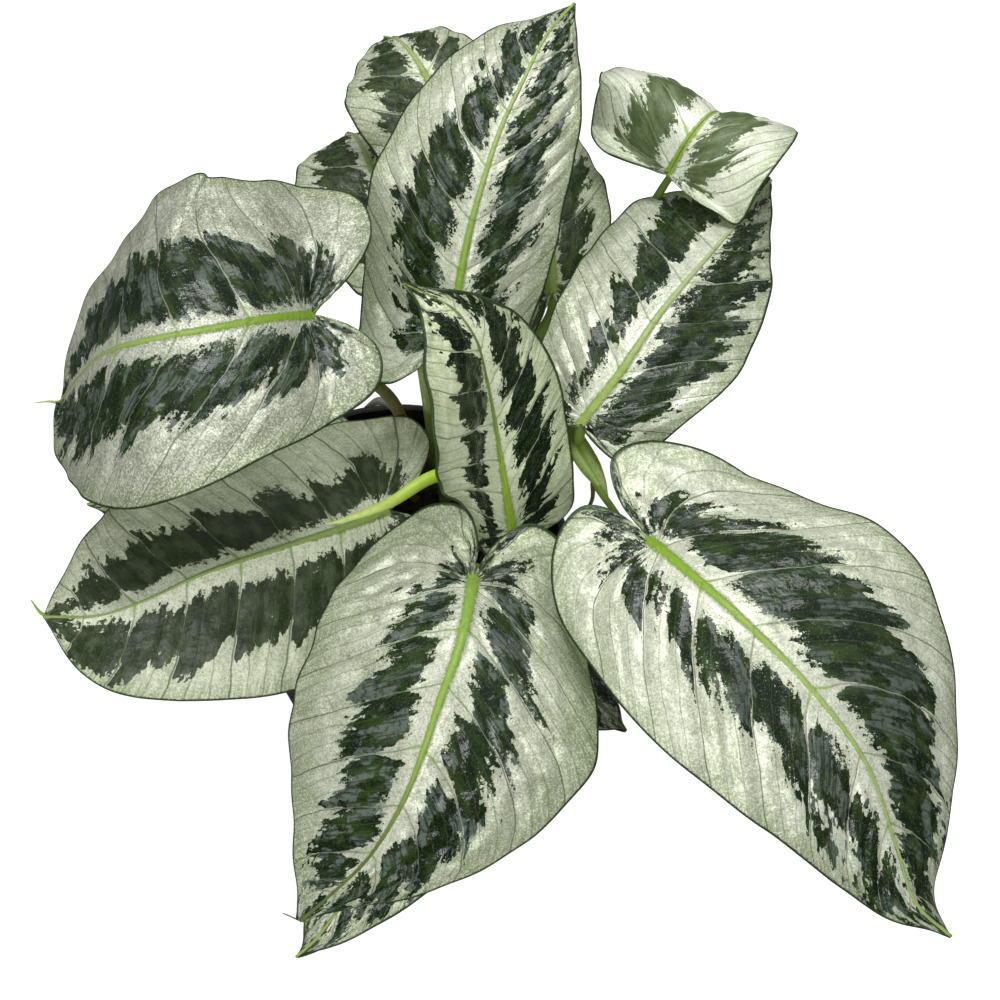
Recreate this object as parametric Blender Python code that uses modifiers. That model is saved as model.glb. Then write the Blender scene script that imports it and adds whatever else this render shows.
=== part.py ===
# Potted schismatoglottis: a house plant with silver and dark green leaves in a nursery pot.
# Units are metres, +Z is up, and the origin is the centre of the pot's underside.
# The leaf values below are in millimetres.

import math
import random

import bmesh
import bpy
import numpy as np
from mathutils import Matrix, Vector
from mathutils.bvhtree import BVHTree

MM = 0.001

# Pot: a 13 cm nursery pot
POT_HEIGHT = 115 * MM
POT_TOP_RADIUS = 63 * MM
POT_BASE_RADIUS = 44 * MM
POT_WALL = 1.4 * MM
POT_FLOOR = 2.2 * MM
RIM_RADIUS = 65 * MM
RIM_DEPTH = 9 * MM
DRAIN_HOLES = 8
DRAIN_RADIUS = 4 * MM
DRAIN_RING = 30 * MM
POT_STEPS = 40
HOLE_SIDES = 12

# Soil
SOIL_TOP = 104 * MM
SOIL_MOUND = 3 * MM
SOIL_GAP = 0.4 * MM
HOLE_GAP = 0.5 * MM
HOLE_ABOVE = 20 * MM    # that the hole cutters reach over the soil, through any bark
HOLE_BELOW = 1 * MM

# Leaves
BLADE_THICKNESS = 0.9 * MM
SEAT_GAP = 0.35 * MM
FRAME_BLEND = 0.6       # how far a blade's cross-sections follow its chord and not its rib
LOBE_SHARE = 0.30       # share of the margin that runs round the lobe
FOOT_START = 0.035      # share of the rib that the basal veins leave from
FOOT_POWER = 1.08       # how the side veins crowd towards the notch
BLUNT_FROM = 0.2        # share of the length past which a blunt leaf is fuller
CURVE_STEPS = 24        # steps between two given points of a curve
RIB_POINTS = 161
MARGIN_POINTS = 241

# Half outline of a blade: share of its length, share of its half width
MARGIN = [
    (-0.010, 0.050), (-0.090, 0.220), (-0.150, 0.480), (-0.135, 0.780), (-0.030, 0.970), (0.140, 1.000),
    (0.330, 0.950), (0.520, 0.820), (0.700, 0.580), (0.850, 0.290), (0.940, 0.090), (1.000, 0.030),
]
WIDTH_STATIONS = (0.0, 0.4, 0.8)
WAVE_HEIGHT = 1.3       # millimetres that a margin waves up and down
WAVES = 3.3             # waves from the notch to the tip
SIDE_PHASE = 0.3        # waves that the right margin is ahead of the left

# Each leaf: the rib from the notch to the tip, the half widths at the lobes, middle and tip, the rise of
# each wing in degrees from base to tip, how far it curls to its margin, and the petiole from soil to blade.
LEAVES = [
    dict(
        name="left", phase=0.0, steps=14, blunt=0.6, lobes=(0.7, 0.8),
        rib=[(-26, 28, 232), (-40, 17, 246), (-62, 7, 254), (-83, 5, 250), (-98, 13, 230), (-111, 29, 192),
             (-127, 49, 140)],
        left=(40, 61, 50), right=(66, 76, 70), rise_left=(-10, -22, -24, -12, 0), rise_right=(0, 4, 5, 10, 14),
        curl=(-10, -15), thick=3.0,
        petiole=[(4, 46, 104), (1, 51, 128), (-5, 49, 150), (-19, 46, 171), (-29, 40, 194)],
    ),
    dict(
        name="low_left", phase=0.4, steps=14, blunt=0.5, lobes=(1.0, 1.0),
        rib=[(-2, -1, 146), (-17, -12, 153), (-35, -21, 157), (-67, -34, 158), (-89, -42, 152),
             (-105, -44, 145), (-128, -37, 130)],
        left=(44, 54, 48), right=(54, 55, 84), rise_left=(-25, -28, -28, -25, -15),
        rise_right=(-15, -20, -20, -18, -10), curl=(-10, -10), petiole=[(3, 3, 104), (4, 4, 122)], thick=2.8,
    ),
    dict(
        name="front", phase=0.7, steps=14, blunt=0.1, lobes=(1.0, 0.85),
        rib=[(30, -57, 198), (26, -86, 207), (19, -107, 203), (8, -130, 181), (-5, -142, 156), (-20, -148, 134),
             (-31, -150, 116)],
        left=(42, 59, 42), right=(52, 66, 86), rise_left=(-20, -24, -24, -25, -25),
        rise_right=(-15, -15, -15, -20, -20), curl=(-20, -20),
        petiole=[(22, -6, 104), (28, -12, 122), (31, -25, 144), (31, -42, 172)], thick=3.0,
    ),
    dict(
        name="front_under", phase=0.1, steps=10, blunt=0.0, lobes=(0.2, 0.2),
        rib=[(16, -54, 126), (12, -79, 130), (0, -113, 120), (-16, -134, 100), (-27, -144, 85),
             (-35, -147, 74)],
        left=(34, 34, 34), right=(34, 34, 34), rise_left=(-8, -10, -15), rise_right=(-8, -10, -15),
        curl=(-10, -10), petiole=[(11, -14, 104), (12, -24, 114)], thick=2.4,
    ),
    dict(
        name="front_right", phase=0.5, steps=14, blunt=0.0, lobes=(1.05, 0.65),
        rib=[(90, -48, 208), (105, -69, 218), (119, -86, 222), (140, -107, 216), (160, -127, 198),
             (172, -146, 172), (180, -158, 152), (194, -163, 134)],
        left=(50, 75, 66), right=(42, 54, 50), rise_left=(-8, -4, -5, -10, -20),
        rise_right=(-10, -12, -15, -20, -20), curl=(-15, -15),
        petiole=[(40, 15, 104), (47, 20, 124), (60, 24, 150), (66, 18, 166), (69, 6, 174), (73, -12, 184),
                 (78, -28, 195)], thick=3.2, lean=50,
    ),
    dict(
        name="right", phase=0.9, steps=14, blunt=0.0, lobes=(0.25, 0.1),
        rib=[(67, 4, 198), (80, 16, 210), (95, 38, 216), (116, 71, 209), (130, 97, 196), (142, 126, 176)],
        left=(30, 44, 76), right=(23, 40, 24), rise_left=(-12, -12, -12), rise_right=(-15, -15, -15),
        curl=(-15, -15), petiole=[(39, 5, 104), (47, 5, 130), (58, 4, 162)], thick=2.8,
    ),
    dict(
        name="far_right", phase=0.2, steps=12, blunt=0.3, lobes=(0.8, 0.4), heading=59,
        rib=[(101, 108, 204), (109, 114, 220), (117, 124, 220), (128, 142, 182), (135, 153, 144)],
        left=(32, 52, 42), right=(36, 33, 16), rise_left=(2, 6, 8), rise_right=(12, 26, 28), curl=(-10, -10),
        petiole=[(37, 26, 104), (50, 38, 132), (70, 62, 158), (86, 98, 178), (94, 112, 194)], thick=2.8,
        heel=False,
    ),
    dict(
        name="back", phase=0.6, steps=14, blunt=0.15, lobes=(1.2, 1.0),
        rib=[(22, 43, 200), (26, 58, 222), (31, 72, 238), (39, 94, 250), (47, 111, 256), (56, 134, 254),
             (66, 156, 244)],
        left=(38, 48, 50), right=(28, 37, 32), rise_left=(-15, -15, -20), rise_right=(-25, -25, -25),
        curl=(-15, -15), petiole=[(18, 28, 104), (17, 30, 130), (18, 34, 170)], thick=2.8,
    ),
    dict(
        name="centre", phase=1.0, steps=14, blunt=0.0, lobes=(0.45, 0.3),
        rib=[(43, -19, 160), (40, -13, 186), (37, -7, 214), (34, -3, 240), (30, 0, 262), (22, 3, 275),
             (7, 7, 282)],
        left=(14, 34, 88), right=(25, 29, 35), rise_left=(8, 12, 15), rise_right=(25, 25, 22), curl=(12, 15),
        petiole=[(30, 6, 104), (32, 2, 124)], thick=2.6,
    ),
    dict(
        name="back_left", phase=0.3, steps=10, blunt=0.0, lobes=(1.0, 1.0),
        rib=[(22, 123, 190), (17, 137, 206), (9, 153, 212), (2, 169, 205), (-6, 192, 180)],
        left=(24, 36, 42), right=(22, 28, 36), rise_left=(-20, -20, -20), rise_right=(6, 2, -8),
        curl=(-15, -15), petiole=[(24, 38, 104), (24, 50, 130), (24, 90, 164)], thick=2.6,
    ),
    dict(
        name="far_left", phase=0.7, steps=10, blunt=0.0, lobes=(1.0, 1.0),
        rib=[(0, 105, 160), (-5, 119, 174), (-11, 134, 178), (-17, 153, 168), (-22, 171, 145)],
        left=(24, 36, 44), right=(30, 30, 30), rise_left=(-15, -15, -15), rise_right=(-20, -20, -20),
        curl=(-15, -15), petiole=[(14, 44, 104), (12, 54, 124), (6, 82, 142)], thick=2.4,
    ),
    dict(
        name="back_right", phase=0.1, steps=10, blunt=0.0, lobes=(1.0, 1.0),
        rib=[(58, 69, 185), (57, 85, 195), (55, 110, 198), (53, 139, 190), (51, 172, 172)],
        left=(26, 28, 28), right=(26, 29, 33), rise_left=(-33, -33, -26), rise_right=(-20, -20, -20),
        curl=(-15, -15), petiole=[(31, 33, 104), (36, 44, 130), (48, 58, 158)], thick=2.8,
    ),
    dict(
        name="hidden_left", phase=0.4, steps=10, blunt=0.0, lobes=(0.7, 0.7),
        rib=[(-25, 28, 128), (-51, 19, 134), (-77, 16, 132), (-100, 17, 124), (-118, 21, 112)],
        left=(34, 34, 34), right=(34, 34, 34), rise_left=(-15, -15, -15), rise_right=(-15, -15, -15),
        curl=(-15, -15), petiole=[(-6, 28, 104), (-10, 30, 112)], thick=2.2,
    ),
    dict(
        name="hidden_front", phase=0.8, steps=10, blunt=0.0, lobes=(0.7, 0.7),
        rib=[(39, -41, 150), (53, -60, 156), (67, -74, 152), (77, -80, 140), (84, -82, 128)],
        left=(26, 26, 26), right=(26, 26, 26), rise_left=(-15, -15, -15), rise_right=(-15, -15, -15),
        curl=(-15, -15), petiole=[(31, -14, 104), (37, -24, 124)], thick=2.2,
    ),
]
PETIOLE_TOP = 0.72      # a petiole's radius at the blade, as a share of its radius at the soil
PETIOLE_POINTS = 9
SOLE_DEPTH = 12         # millimetres that a petiole stands in the soil
COLLAR = 5              # millimetres that its straight foot stands above it
HEEL = 11               # millimetres below the blade where a petiole starts its last bend
SEAT_TILT = 20          # degrees that a petiole's end leans towards the tip
SEAT_STEP = 0.1         # millimetres a step, when the end is lowered clear of the blade
SEAT_INSET = 2          # millimetres from the notch to the middle of the petiole's end
SEAT_SPOKES = 12        # points round the end that are kept clear

# The rolled new leaf
SPIKE_ROUTE = [(27, 18, 92), (27, 18, 104), (29, 17, 118), (33, 13, 142), (28, 7, 160), (14, -2, 171),
               (-1, -13, 172), (-17, -17, 167), (-24, -16, 162)]
SPIKE_RADII = [2.4, 2.4, 2.4, 2.4, 2.7, 2.6, 2.2, 1.3, 0.5]
SPIKE_POINTS = 14

# Bark in the soil, in millimetres and degrees
BARK_LENGTH = (5.0, 10.0)
BARK_PLACES = 46
BARK_SEED = 7
BARK_DEPTH = 5 * MM
GOLDEN_ANGLE = math.radians(137.5)
BARK_CLEAR = 5.5        # between a piece of bark and a stem
BARK_LIMIT = 51         # from the pot's axis
LONG_BARK = (6, 53, 12, 5, -15)


def clear_scene():
    for thing in list(bpy.data.objects):
        bpy.data.objects.remove(thing, do_unlink=True)


def make_collection(name):
    collection = bpy.data.collections.new(name)
    bpy.context.scene.collection.children.link(collection)
    return collection


def make_material(name, colour, roughness):
    material = bpy.data.materials.new(name)
    material.use_nodes = True
    shader = material.node_tree.nodes["Principled BSDF"]
    shader.inputs["Base Color"].default_value = (*colour, 1.0)
    shader.inputs["Roughness"].default_value = roughness
    shader.inputs["Metallic"].default_value = 0.0
    material.diffuse_color = (*colour, 1.0)
    return material


def add_object(name, mesh, collection, material):
    thing = bpy.data.objects.new(name, mesh)
    collection.objects.link(thing)
    mesh.materials.clear()
    mesh.materials.append(material)
    return thing


def between(start, end, at, first, second):
    return ((end - at) * first + (at - start) * second) / (end - start)


def smooth_curve(points, count):
    """Centripetal curve through the points, at even steps, and its length."""
    points = np.asarray(points, float)
    ends = np.vstack([2 * points[0] - points[1], points, 2 * points[-1] - points[-2]])
    pieces = []
    for i in range(1, len(ends) - 2):
        p = ends[i - 1:i + 3]
        k = [0.0]
        for j in range(3):
            k.append(k[-1] + max(np.linalg.norm(p[j + 1] - p[j]), 1e-9) ** 0.5)
        t = np.linspace(k[1], k[2], CURVE_STEPS, endpoint=False)[:, None]
        a = [between(k[j], k[j + 1], t, p[j], p[j + 1]) for j in range(3)]
        b = [between(k[j], k[j + 2], t, a[j], a[j + 1]) for j in range(2)]
        pieces.append(between(k[1], k[2], t, b[0], b[1]))
    curve = np.vstack(pieces + [points[-1:]])
    reach = np.r_[0, np.cumsum(np.linalg.norm(np.diff(curve, axis=0), axis=1))]
    even = np.linspace(0, reach[-1], count)
    return np.stack([np.interp(even, reach, curve[:, j]) for j in range(curve.shape[1])], 1), reach[-1]


def unit(rows):
    return rows / np.linalg.norm(rows, axis=-1, keepdims=True)


class BladeShape:
    """A leaf blade as a formula: margin share u and reach r from the rib give a place."""

    def __init__(self, leaf):
        self.rib, self.length = smooth_curve(leaf["rib"], RIB_POINTS)
        self.along = np.linspace(0, self.length, RIB_POINTS)
        chord = self.rib[-1] - self.rib[0]
        if "heading" in leaf:
            turn = math.radians(leaf["heading"])
            level = np.array([math.sin(turn), -math.cos(turn), 0.0])
        else:
            level = np.array([chord[1], -chord[0], 0.0])
        tangent = unit(np.gradient(self.rib, axis=0))
        self.tangent = unit(tangent * (1 - FRAME_BLEND) + unit(chord) * FRAME_BLEND)
        self.across = unit(level - (self.tangent @ level)[:, None] * self.tangent)
        self.up = np.cross(self.across, self.tangent)
        self.widths = (leaf["left"], leaf["right"])
        self.rises = (leaf["rise_left"], leaf["rise_right"])
        self.curl = leaf["curl"]
        self.phase = leaf["phase"]
        self.margins = [self.margin(leaf, side) for side in (0, 1)]

    def margin(self, leaf, side):
        outline = []
        for share, width in MARGIN:
            lobe = leaf["lobes"][side] if share < 0 else 1.0
            fuller = width ** (1 - leaf["blunt"]) if BLUNT_FROM < share < 1 else width
            out = fuller * np.interp(share, WIDTH_STATIONS, self.widths[side])
            outline.append((share * lobe * self.length, out))
        return smooth_curve(outline, MARGIN_POINTS)[0]

    def flat_place(self, side, u, r):
        ticks = np.linspace(0, 1, MARGIN_POINTS)
        past_lobe = max(0.0, (u - LOBE_SHARE) / (1 - LOBE_SHARE))
        foot = FOOT_START * min(u / LOBE_SHARE, 1.0) + (1 - FOOT_START) * past_lobe ** FOOT_POWER
        foot *= self.length
        out = np.array([np.interp(u, ticks, self.margins[side][:, k]) for k in (0, 1)])
        return foot + (out[0] - foot) * r, out[1] * r

    def lift(self, side, along, out):
        """Place of a flat point, along and out from the rib, on the arched blade."""
        on_rib = min(max(along, 0.0), self.length)
        here = [np.array([np.interp(on_rib, self.along, part[:, k]) for k in range(3)])
                for part in (self.rib, self.tangent, self.across, self.up)]
        centre = here[0] + min(along, 0.0) * here[1]
        rises = self.rises[side]
        rise = math.radians(np.interp(on_rib / self.length, np.linspace(0, 1, len(rises)), rises))
        curl = math.radians(self.curl[side])
        width = max(self.widths[side])
        level = width / curl * (math.sin(rise + curl * out / width) - math.sin(rise))
        raised = -width / curl * (math.cos(rise + curl * out / width) - math.cos(rise))
        hand = 1.0 if side else -1.0
        return centre + hand * level * here[2] + raised * here[3]

    def place(self, side, u, r):
        along, out = self.flat_place(side, u, r)
        on_rib = min(max(along, 0.0), self.length)
        up = np.array([np.interp(on_rib, self.along, self.up[:, k]) for k in range(3)])
        wave = WAVE_HEIGHT * math.sin(math.tau * (WAVES * u + self.phase + SIDE_PHASE * side))
        return self.lift(side, along, out) + up * wave * r * r


def build_blade(leaf, collection, material):
    shape = BladeShape(leaf)
    steps = leaf["steps"]
    half = 4 if steps > 10 else 3
    mesh = bpy.data.meshes.new("blade_" + leaf["name"])
    work = bmesh.new()
    bmesh.ops.create_grid(work, x_segments=2 * half, y_segments=steps, size=1.0)
    for vertex in work.verts:
        across, u = vertex.co.x, (vertex.co.y + 1) / 2
        vertex.co = Vector(shape.place(1 if across > 0 else 0, u, abs(across)) * MM)
    bmesh.ops.triangulate(work, faces=work.faces[:])
    work.to_mesh(mesh)
    work.free()
    blade = add_object("blade_" + leaf["name"], mesh, collection, material)
    solidify = blade.modifiers.new("thickness", "SOLIDIFY")
    solidify.thickness = BLADE_THICKNESS
    solidify.offset = 0.0
    mesh.shade_smooth()
    return shape, blade


def build_tube(name, points, radii, collection, material):
    curve = bpy.data.curves.new(name, "CURVE")
    curve.dimensions = "3D"
    curve.bevel_depth = 1.0
    curve.bevel_resolution = 2
    curve.use_fill_caps = True
    spline = curve.splines.new("POLY")
    spline.points.add(len(points) - 1)
    for point, place, radius in zip(spline.points, points, radii):
        point.co = (*(place * MM), 1.0)
        point.radius = radius * MM
    curve.materials.append(material)
    tube = bpy.data.objects.new(name, curve)
    collection.objects.link(tube)
    return tube


def seat_under(blade_tree, start, axis, radius):
    """Lowers a tube's end from start, along its axis, until it clears the blade by SEAT_GAP."""
    side = unit(np.cross(axis, (0, 1, 0)))
    other = np.cross(axis, side)
    turns = np.arange(SEAT_SPOKES) * math.tau / SEAT_SPOKES
    rim = radius * (np.cos(turns)[:, None] * side + np.sin(turns)[:, None] * other)
    seat = start
    while True:
        gaps = [blade_tree.find_nearest(Vector((seat + spoke) * MM))[3] for spoke in rim]
        if min(gaps) > SEAT_GAP:
            return seat
        seat = seat - axis * SEAT_STEP


def petiole_route(leaf, shape, blade_tree):
    """From a straight foot in the soil to just under the blade's notch."""
    top_radius = leaf["thick"] * PETIOLE_TOP
    tilt = math.radians(leaf.get("lean", SEAT_TILT))
    forward, up = shape.tangent[0], shape.up[0]
    into = up * math.cos(tilt) + forward * math.sin(tilt)
    below = top_radius * math.sin(tilt) + BLADE_THICKNESS / 2 / MM
    start = shape.rib[0] + forward * SEAT_INSET - up * below
    seat = seat_under(blade_tree, start, into, top_radius)
    foot = np.array(leaf["petiole"][0], float)
    sole = foot - (0, 0, SOLE_DEPTH)
    knots = [foot + (0, 0, COLLAR)] + [np.array(p, float) for p in leaf["petiole"][1:]]
    if leaf.get("heel", True):
        knots.append(seat - into * HEEL)
    knots.append(seat)
    rise, _ = smooth_curve(knots, PETIOLE_POINTS)
    points = np.vstack([sole, rise])
    radii = np.linspace(leaf["thick"], top_radius, len(points))
    radii[:2] = leaf["thick"]
    return points, radii


def build_pot(collection, cutters, material):
    # half section, from the outer edge of the underside up, over the rim and down the inside
    shoulder = POT_HEIGHT - RIM_DEPTH
    section = [
        (0, 0), (DRAIN_RING - 8 * MM, 0), (POT_BASE_RADIUS - 2 * MM, 0), (POT_BASE_RADIUS, 2 * MM),
        (POT_TOP_RADIUS - 0.6 * MM, shoulder - 0.6 * MM), (RIM_RADIUS - 0.5 * MM, shoulder),
        (RIM_RADIUS, shoulder + 0.6 * MM), (RIM_RADIUS, POT_HEIGHT - 1.2 * MM),
        (RIM_RADIUS - 1.0 * MM, POT_HEIGHT), (POT_TOP_RADIUS - 0.6 * MM, POT_HEIGHT),
        (POT_TOP_RADIUS - POT_WALL, POT_HEIGHT - 1.5 * MM),
        (POT_BASE_RADIUS - POT_WALL, POT_FLOOR + 1.5 * MM), (POT_BASE_RADIUS - POT_WALL - 1.5 * MM, POT_FLOOR),
        (0, POT_FLOOR),
    ]
    section.reverse()
    pot = turn_section("pot", section, collection, material)
    drain = bpy.data.meshes.new("drain_cutter")
    work = bmesh.new()
    for i in range(DRAIN_HOLES):
        angle = 2 * math.pi * i / DRAIN_HOLES
        made = bmesh.ops.create_cone(work, cap_ends=True, segments=HOLE_SIDES, radius1=DRAIN_RADIUS,
                                     radius2=DRAIN_RADIUS, depth=10 * MM)
        bmesh.ops.translate(work, verts=made["verts"],
                            vec=(DRAIN_RING * math.cos(angle), DRAIN_RING * math.sin(angle), 0))
    work.to_mesh(drain)
    work.free()
    combine(pot, "drains", drain, "DIFFERENCE", cutters)
    return pot


def turn_section(name, section, collection, material):
    mesh = bpy.data.meshes.new(name)
    mesh.from_pydata([(x, 0, z) for x, z in section], [(i, i + 1) for i in range(len(section) - 1)], [])
    thing = add_object(name, mesh, collection, material)
    screw = thing.modifiers.new("turn", "SCREW")
    screw.steps = POT_STEPS
    screw.render_steps = POT_STEPS
    screw.use_merge_vertices = True
    screw.merge_threshold = 0.05 * MM
    return thing


def combine(thing, label, mesh, operation, cutters):
    """Cuts a mesh out of a piece, or joins it on."""
    tool = bpy.data.objects.new(thing.name + "_" + label, mesh)
    cutters.objects.link(tool)
    tool.hide_render = True
    tool.display_type = "WIRE"
    boolean = thing.modifiers.new(label, "BOOLEAN")
    boolean.operation = operation
    boolean.object = tool


def pot_inner_radius(height):
    """Inside radius of the pot's wall at a height."""
    share = (height - POT_FLOOR) / (POT_HEIGHT - POT_FLOOR)
    return POT_BASE_RADIUS - POT_WALL + share * (POT_TOP_RADIUS - POT_BASE_RADIUS)


def bark_pieces(feet):
    """Place, length, width and turn of each piece of bark on the soil."""
    draw = random.Random(BARK_SEED)
    pieces = [LONG_BARK]
    for i in range(BARK_PLACES):
        angle = i * GOLDEN_ANGLE
        reach = BARK_LIMIT * math.sqrt((i + 0.5) / BARK_PLACES)
        x, y = reach * math.cos(angle), reach * math.sin(angle)
        length = draw.uniform(*BARK_LENGTH)
        width = length * draw.uniform(0.45, 0.75)
        turn = draw.uniform(0, 180)
        stems = min(math.hypot(x - place[0], y - place[1]) for place, _ in feet)
        bark = min(math.hypot(x - other[0], y - other[1]) - other[2] / 2 for other in pieces)
        if stems > BARK_CLEAR + length / 2 and bark > length / 2 + 1:
            pieces.append((x, y, length, width, turn))
    return pieces


def build_soil(feet, collection, cutters, material):
    low = POT_FLOOR + SOIL_GAP
    section = [(0, SOIL_TOP + SOIL_MOUND)]
    for share in (0.35, 0.7, 0.95):
        radius = share * (pot_inner_radius(SOIL_TOP) - SOIL_GAP)
        section.append((radius, SOIL_TOP + SOIL_MOUND * (1 - share ** 2)))
    section.append((pot_inner_radius(SOIL_TOP - 2 * MM) - 2 * SOIL_GAP, SOIL_TOP - 2 * MM))
    section.append((pot_inner_radius(low + 3 * MM) - 2 * SOIL_GAP - 1 * MM, low + 3 * MM))
    section += [(pot_inner_radius(low) - 4 * MM, low), (0, low)]
    soil = turn_section("soil", section, collection, material)

    bark = bpy.data.meshes.new("bark")
    work = bmesh.new()
    for x, y, length, width, turn in bark_pieces(feet):
        share = math.hypot(x, y) * MM / pot_inner_radius(SOIL_TOP)
        level = (SOIL_TOP + SOIL_MOUND * (1 - share ** 2)) / MM
        size = Matrix.Diagonal((length * MM, width * MM, BARK_DEPTH, 1))
        made = bmesh.ops.create_cube(work, size=1.0, matrix=size)
        top = [vertex for vertex in made["verts"] if vertex.co.z > 0]
        bmesh.ops.scale(work, verts=top, vec=(0.8, 0.7, 1.0))
        bmesh.ops.rotate(work, verts=made["verts"], matrix=Matrix.Rotation(math.radians(turn), 3, "Z"))
        bmesh.ops.translate(work, verts=made["verts"], vec=(x * MM, y * MM, level * MM))
    work.to_mesh(bark)
    work.free()
    combine(soil, "bark", bark, "UNION", cutters)

    holes = bpy.data.meshes.new("holes")
    work = bmesh.new()
    for place, radius in feet:
        top = SOIL_TOP + HOLE_ABOVE
        bottom = place[2] * MM - HOLE_BELOW
        made = bmesh.ops.create_cone(work, cap_ends=True, segments=HOLE_SIDES, radius1=radius * MM + HOLE_GAP,
                                     radius2=radius * MM + HOLE_GAP, depth=top - bottom)
        centre = (place[0] * MM, place[1] * MM, (top + bottom) / 2)
        bmesh.ops.translate(work, verts=made["verts"], vec=centre)
    work.to_mesh(holes)
    work.free()
    combine(soil, "holes", holes, "DIFFERENCE", cutters)
    return soil


def main():
    clear_scene()
    plant = make_collection("potted_schismatoglottis")
    cutters = make_collection("cutters")
    leaf_green = make_material("leaf_green", (0.30, 0.36, 0.24), 0.45)
    stem_green = make_material("stem_green", (0.16, 0.26, 0.06), 0.5)
    spike_green = make_material("spike_green", (0.42, 0.62, 0.08), 0.45)
    black_plastic = make_material("black_plastic", (0.015, 0.016, 0.018), 0.4)
    earth = make_material("earth", (0.045, 0.03, 0.02), 0.9)

    feet = []
    for leaf in LEAVES:
        shape, blade = build_blade(leaf, plant, leaf_green)
        blade_tree = BVHTree.FromObject(blade, bpy.context.evaluated_depsgraph_get())
        points, radii = petiole_route(leaf, shape, blade_tree)
        build_tube("petiole_" + leaf["name"], points, radii, plant, stem_green)
        feet.append((points[0], radii[0]))
    spike, _ = smooth_curve(SPIKE_ROUTE[1:], SPIKE_POINTS)
    spike = np.vstack([SPIKE_ROUTE[0], spike])
    ticks = np.linspace(0, 1, len(SPIKE_RADII))
    radii = np.interp(np.linspace(0, 1, len(spike)), ticks, SPIKE_RADII)
    build_tube("rolled_leaf", spike, radii, plant, spike_green)
    feet.append((spike[0], radii[0]))
    build_pot(plant, cutters, black_plastic)
    build_soil(feet, plant, cutters, earth)


main()
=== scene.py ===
import math
import random
import bpy
import numpy as np
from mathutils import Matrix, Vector, noise


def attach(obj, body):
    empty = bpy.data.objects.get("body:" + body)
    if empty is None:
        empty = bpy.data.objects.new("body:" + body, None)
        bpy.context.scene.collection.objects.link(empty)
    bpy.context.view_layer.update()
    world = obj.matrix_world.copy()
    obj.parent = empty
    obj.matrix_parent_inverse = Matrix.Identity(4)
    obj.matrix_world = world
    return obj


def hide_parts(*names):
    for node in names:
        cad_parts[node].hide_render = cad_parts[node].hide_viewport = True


# Potted schismatoglottis: silver and dark green leaves on slender stalks in a black nursery pot.
# Leaf values are in millimetres and degrees, and meshes are made in metres.

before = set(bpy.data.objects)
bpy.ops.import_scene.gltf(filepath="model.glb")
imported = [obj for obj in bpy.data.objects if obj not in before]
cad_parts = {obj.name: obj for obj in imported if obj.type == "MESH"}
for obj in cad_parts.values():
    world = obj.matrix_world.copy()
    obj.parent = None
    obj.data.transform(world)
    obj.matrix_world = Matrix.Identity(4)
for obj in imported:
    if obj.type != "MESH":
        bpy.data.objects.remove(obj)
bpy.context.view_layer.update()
mm = 0.001
print("frame loaded")


# Selecting and finishing

def deselectAll():
    if bpy.context.object and bpy.context.object.mode != "OBJECT":
        bpy.ops.object.mode_set(mode="OBJECT")
    bpy.ops.object.select_all(action="DESELECT")


def pickOnly(piece):
    deselectAll()
    piece.select_set(True)
    bpy.context.view_layer.objects.active = piece


def applyModifier(piece, kind, **settings):
    pickOnly(piece)
    modifier = piece.modifiers.new(kind.lower(), kind)
    for key, value in settings.items():
        setattr(modifier, key, value)
    bpy.ops.object.modifier_apply(modifier=modifier.name)


def startEdit(piece):
    pickOnly(piece)
    bpy.ops.object.mode_set(mode="EDIT")
    bpy.ops.mesh.select_all(action="SELECT")


def endEdit():
    # all faces outwards, and back to the object
    bpy.ops.mesh.select_all(action="SELECT")
    bpy.ops.mesh.normals_make_consistent(inside=False)
    bpy.ops.object.mode_set(mode="OBJECT")


def pickOpenEdges():
    bpy.ops.mesh.select_all(action="DESELECT")
    bpy.ops.mesh.select_non_manifold()


def finishPiece(piece, name, nodes=()):
    piece.name = name
    piece.data.name = name
    pickOnly(piece)
    bpy.ops.object.transform_apply(location=True, rotation=True, scale=True)
    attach(piece, "root")
    if nodes:
        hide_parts(*nodes)
    return piece


def newGrid(columns, rows):
    deselectAll()
    bpy.ops.mesh.primitive_grid_add(x_subdivisions=columns, y_subdivisions=rows, size=2)
    return bpy.context.object


def readPoints(mesh):
    points = np.zeros(len(mesh.vertices) * 3)
    mesh.vertices.foreach_get("co", points)
    return points.reshape(-1, 3)


def movePoints(mesh, points):
    mesh.vertices.foreach_set("co", np.asarray(points, float).ravel())
    mesh.update()


def addAttribute(mesh, name, rows):
    attribute = mesh.attributes.new(name, "FLOAT_VECTOR", "POINT")
    attribute.data.foreach_set("vector", np.asarray(rows, np.float32).ravel())


# Shader building

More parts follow.
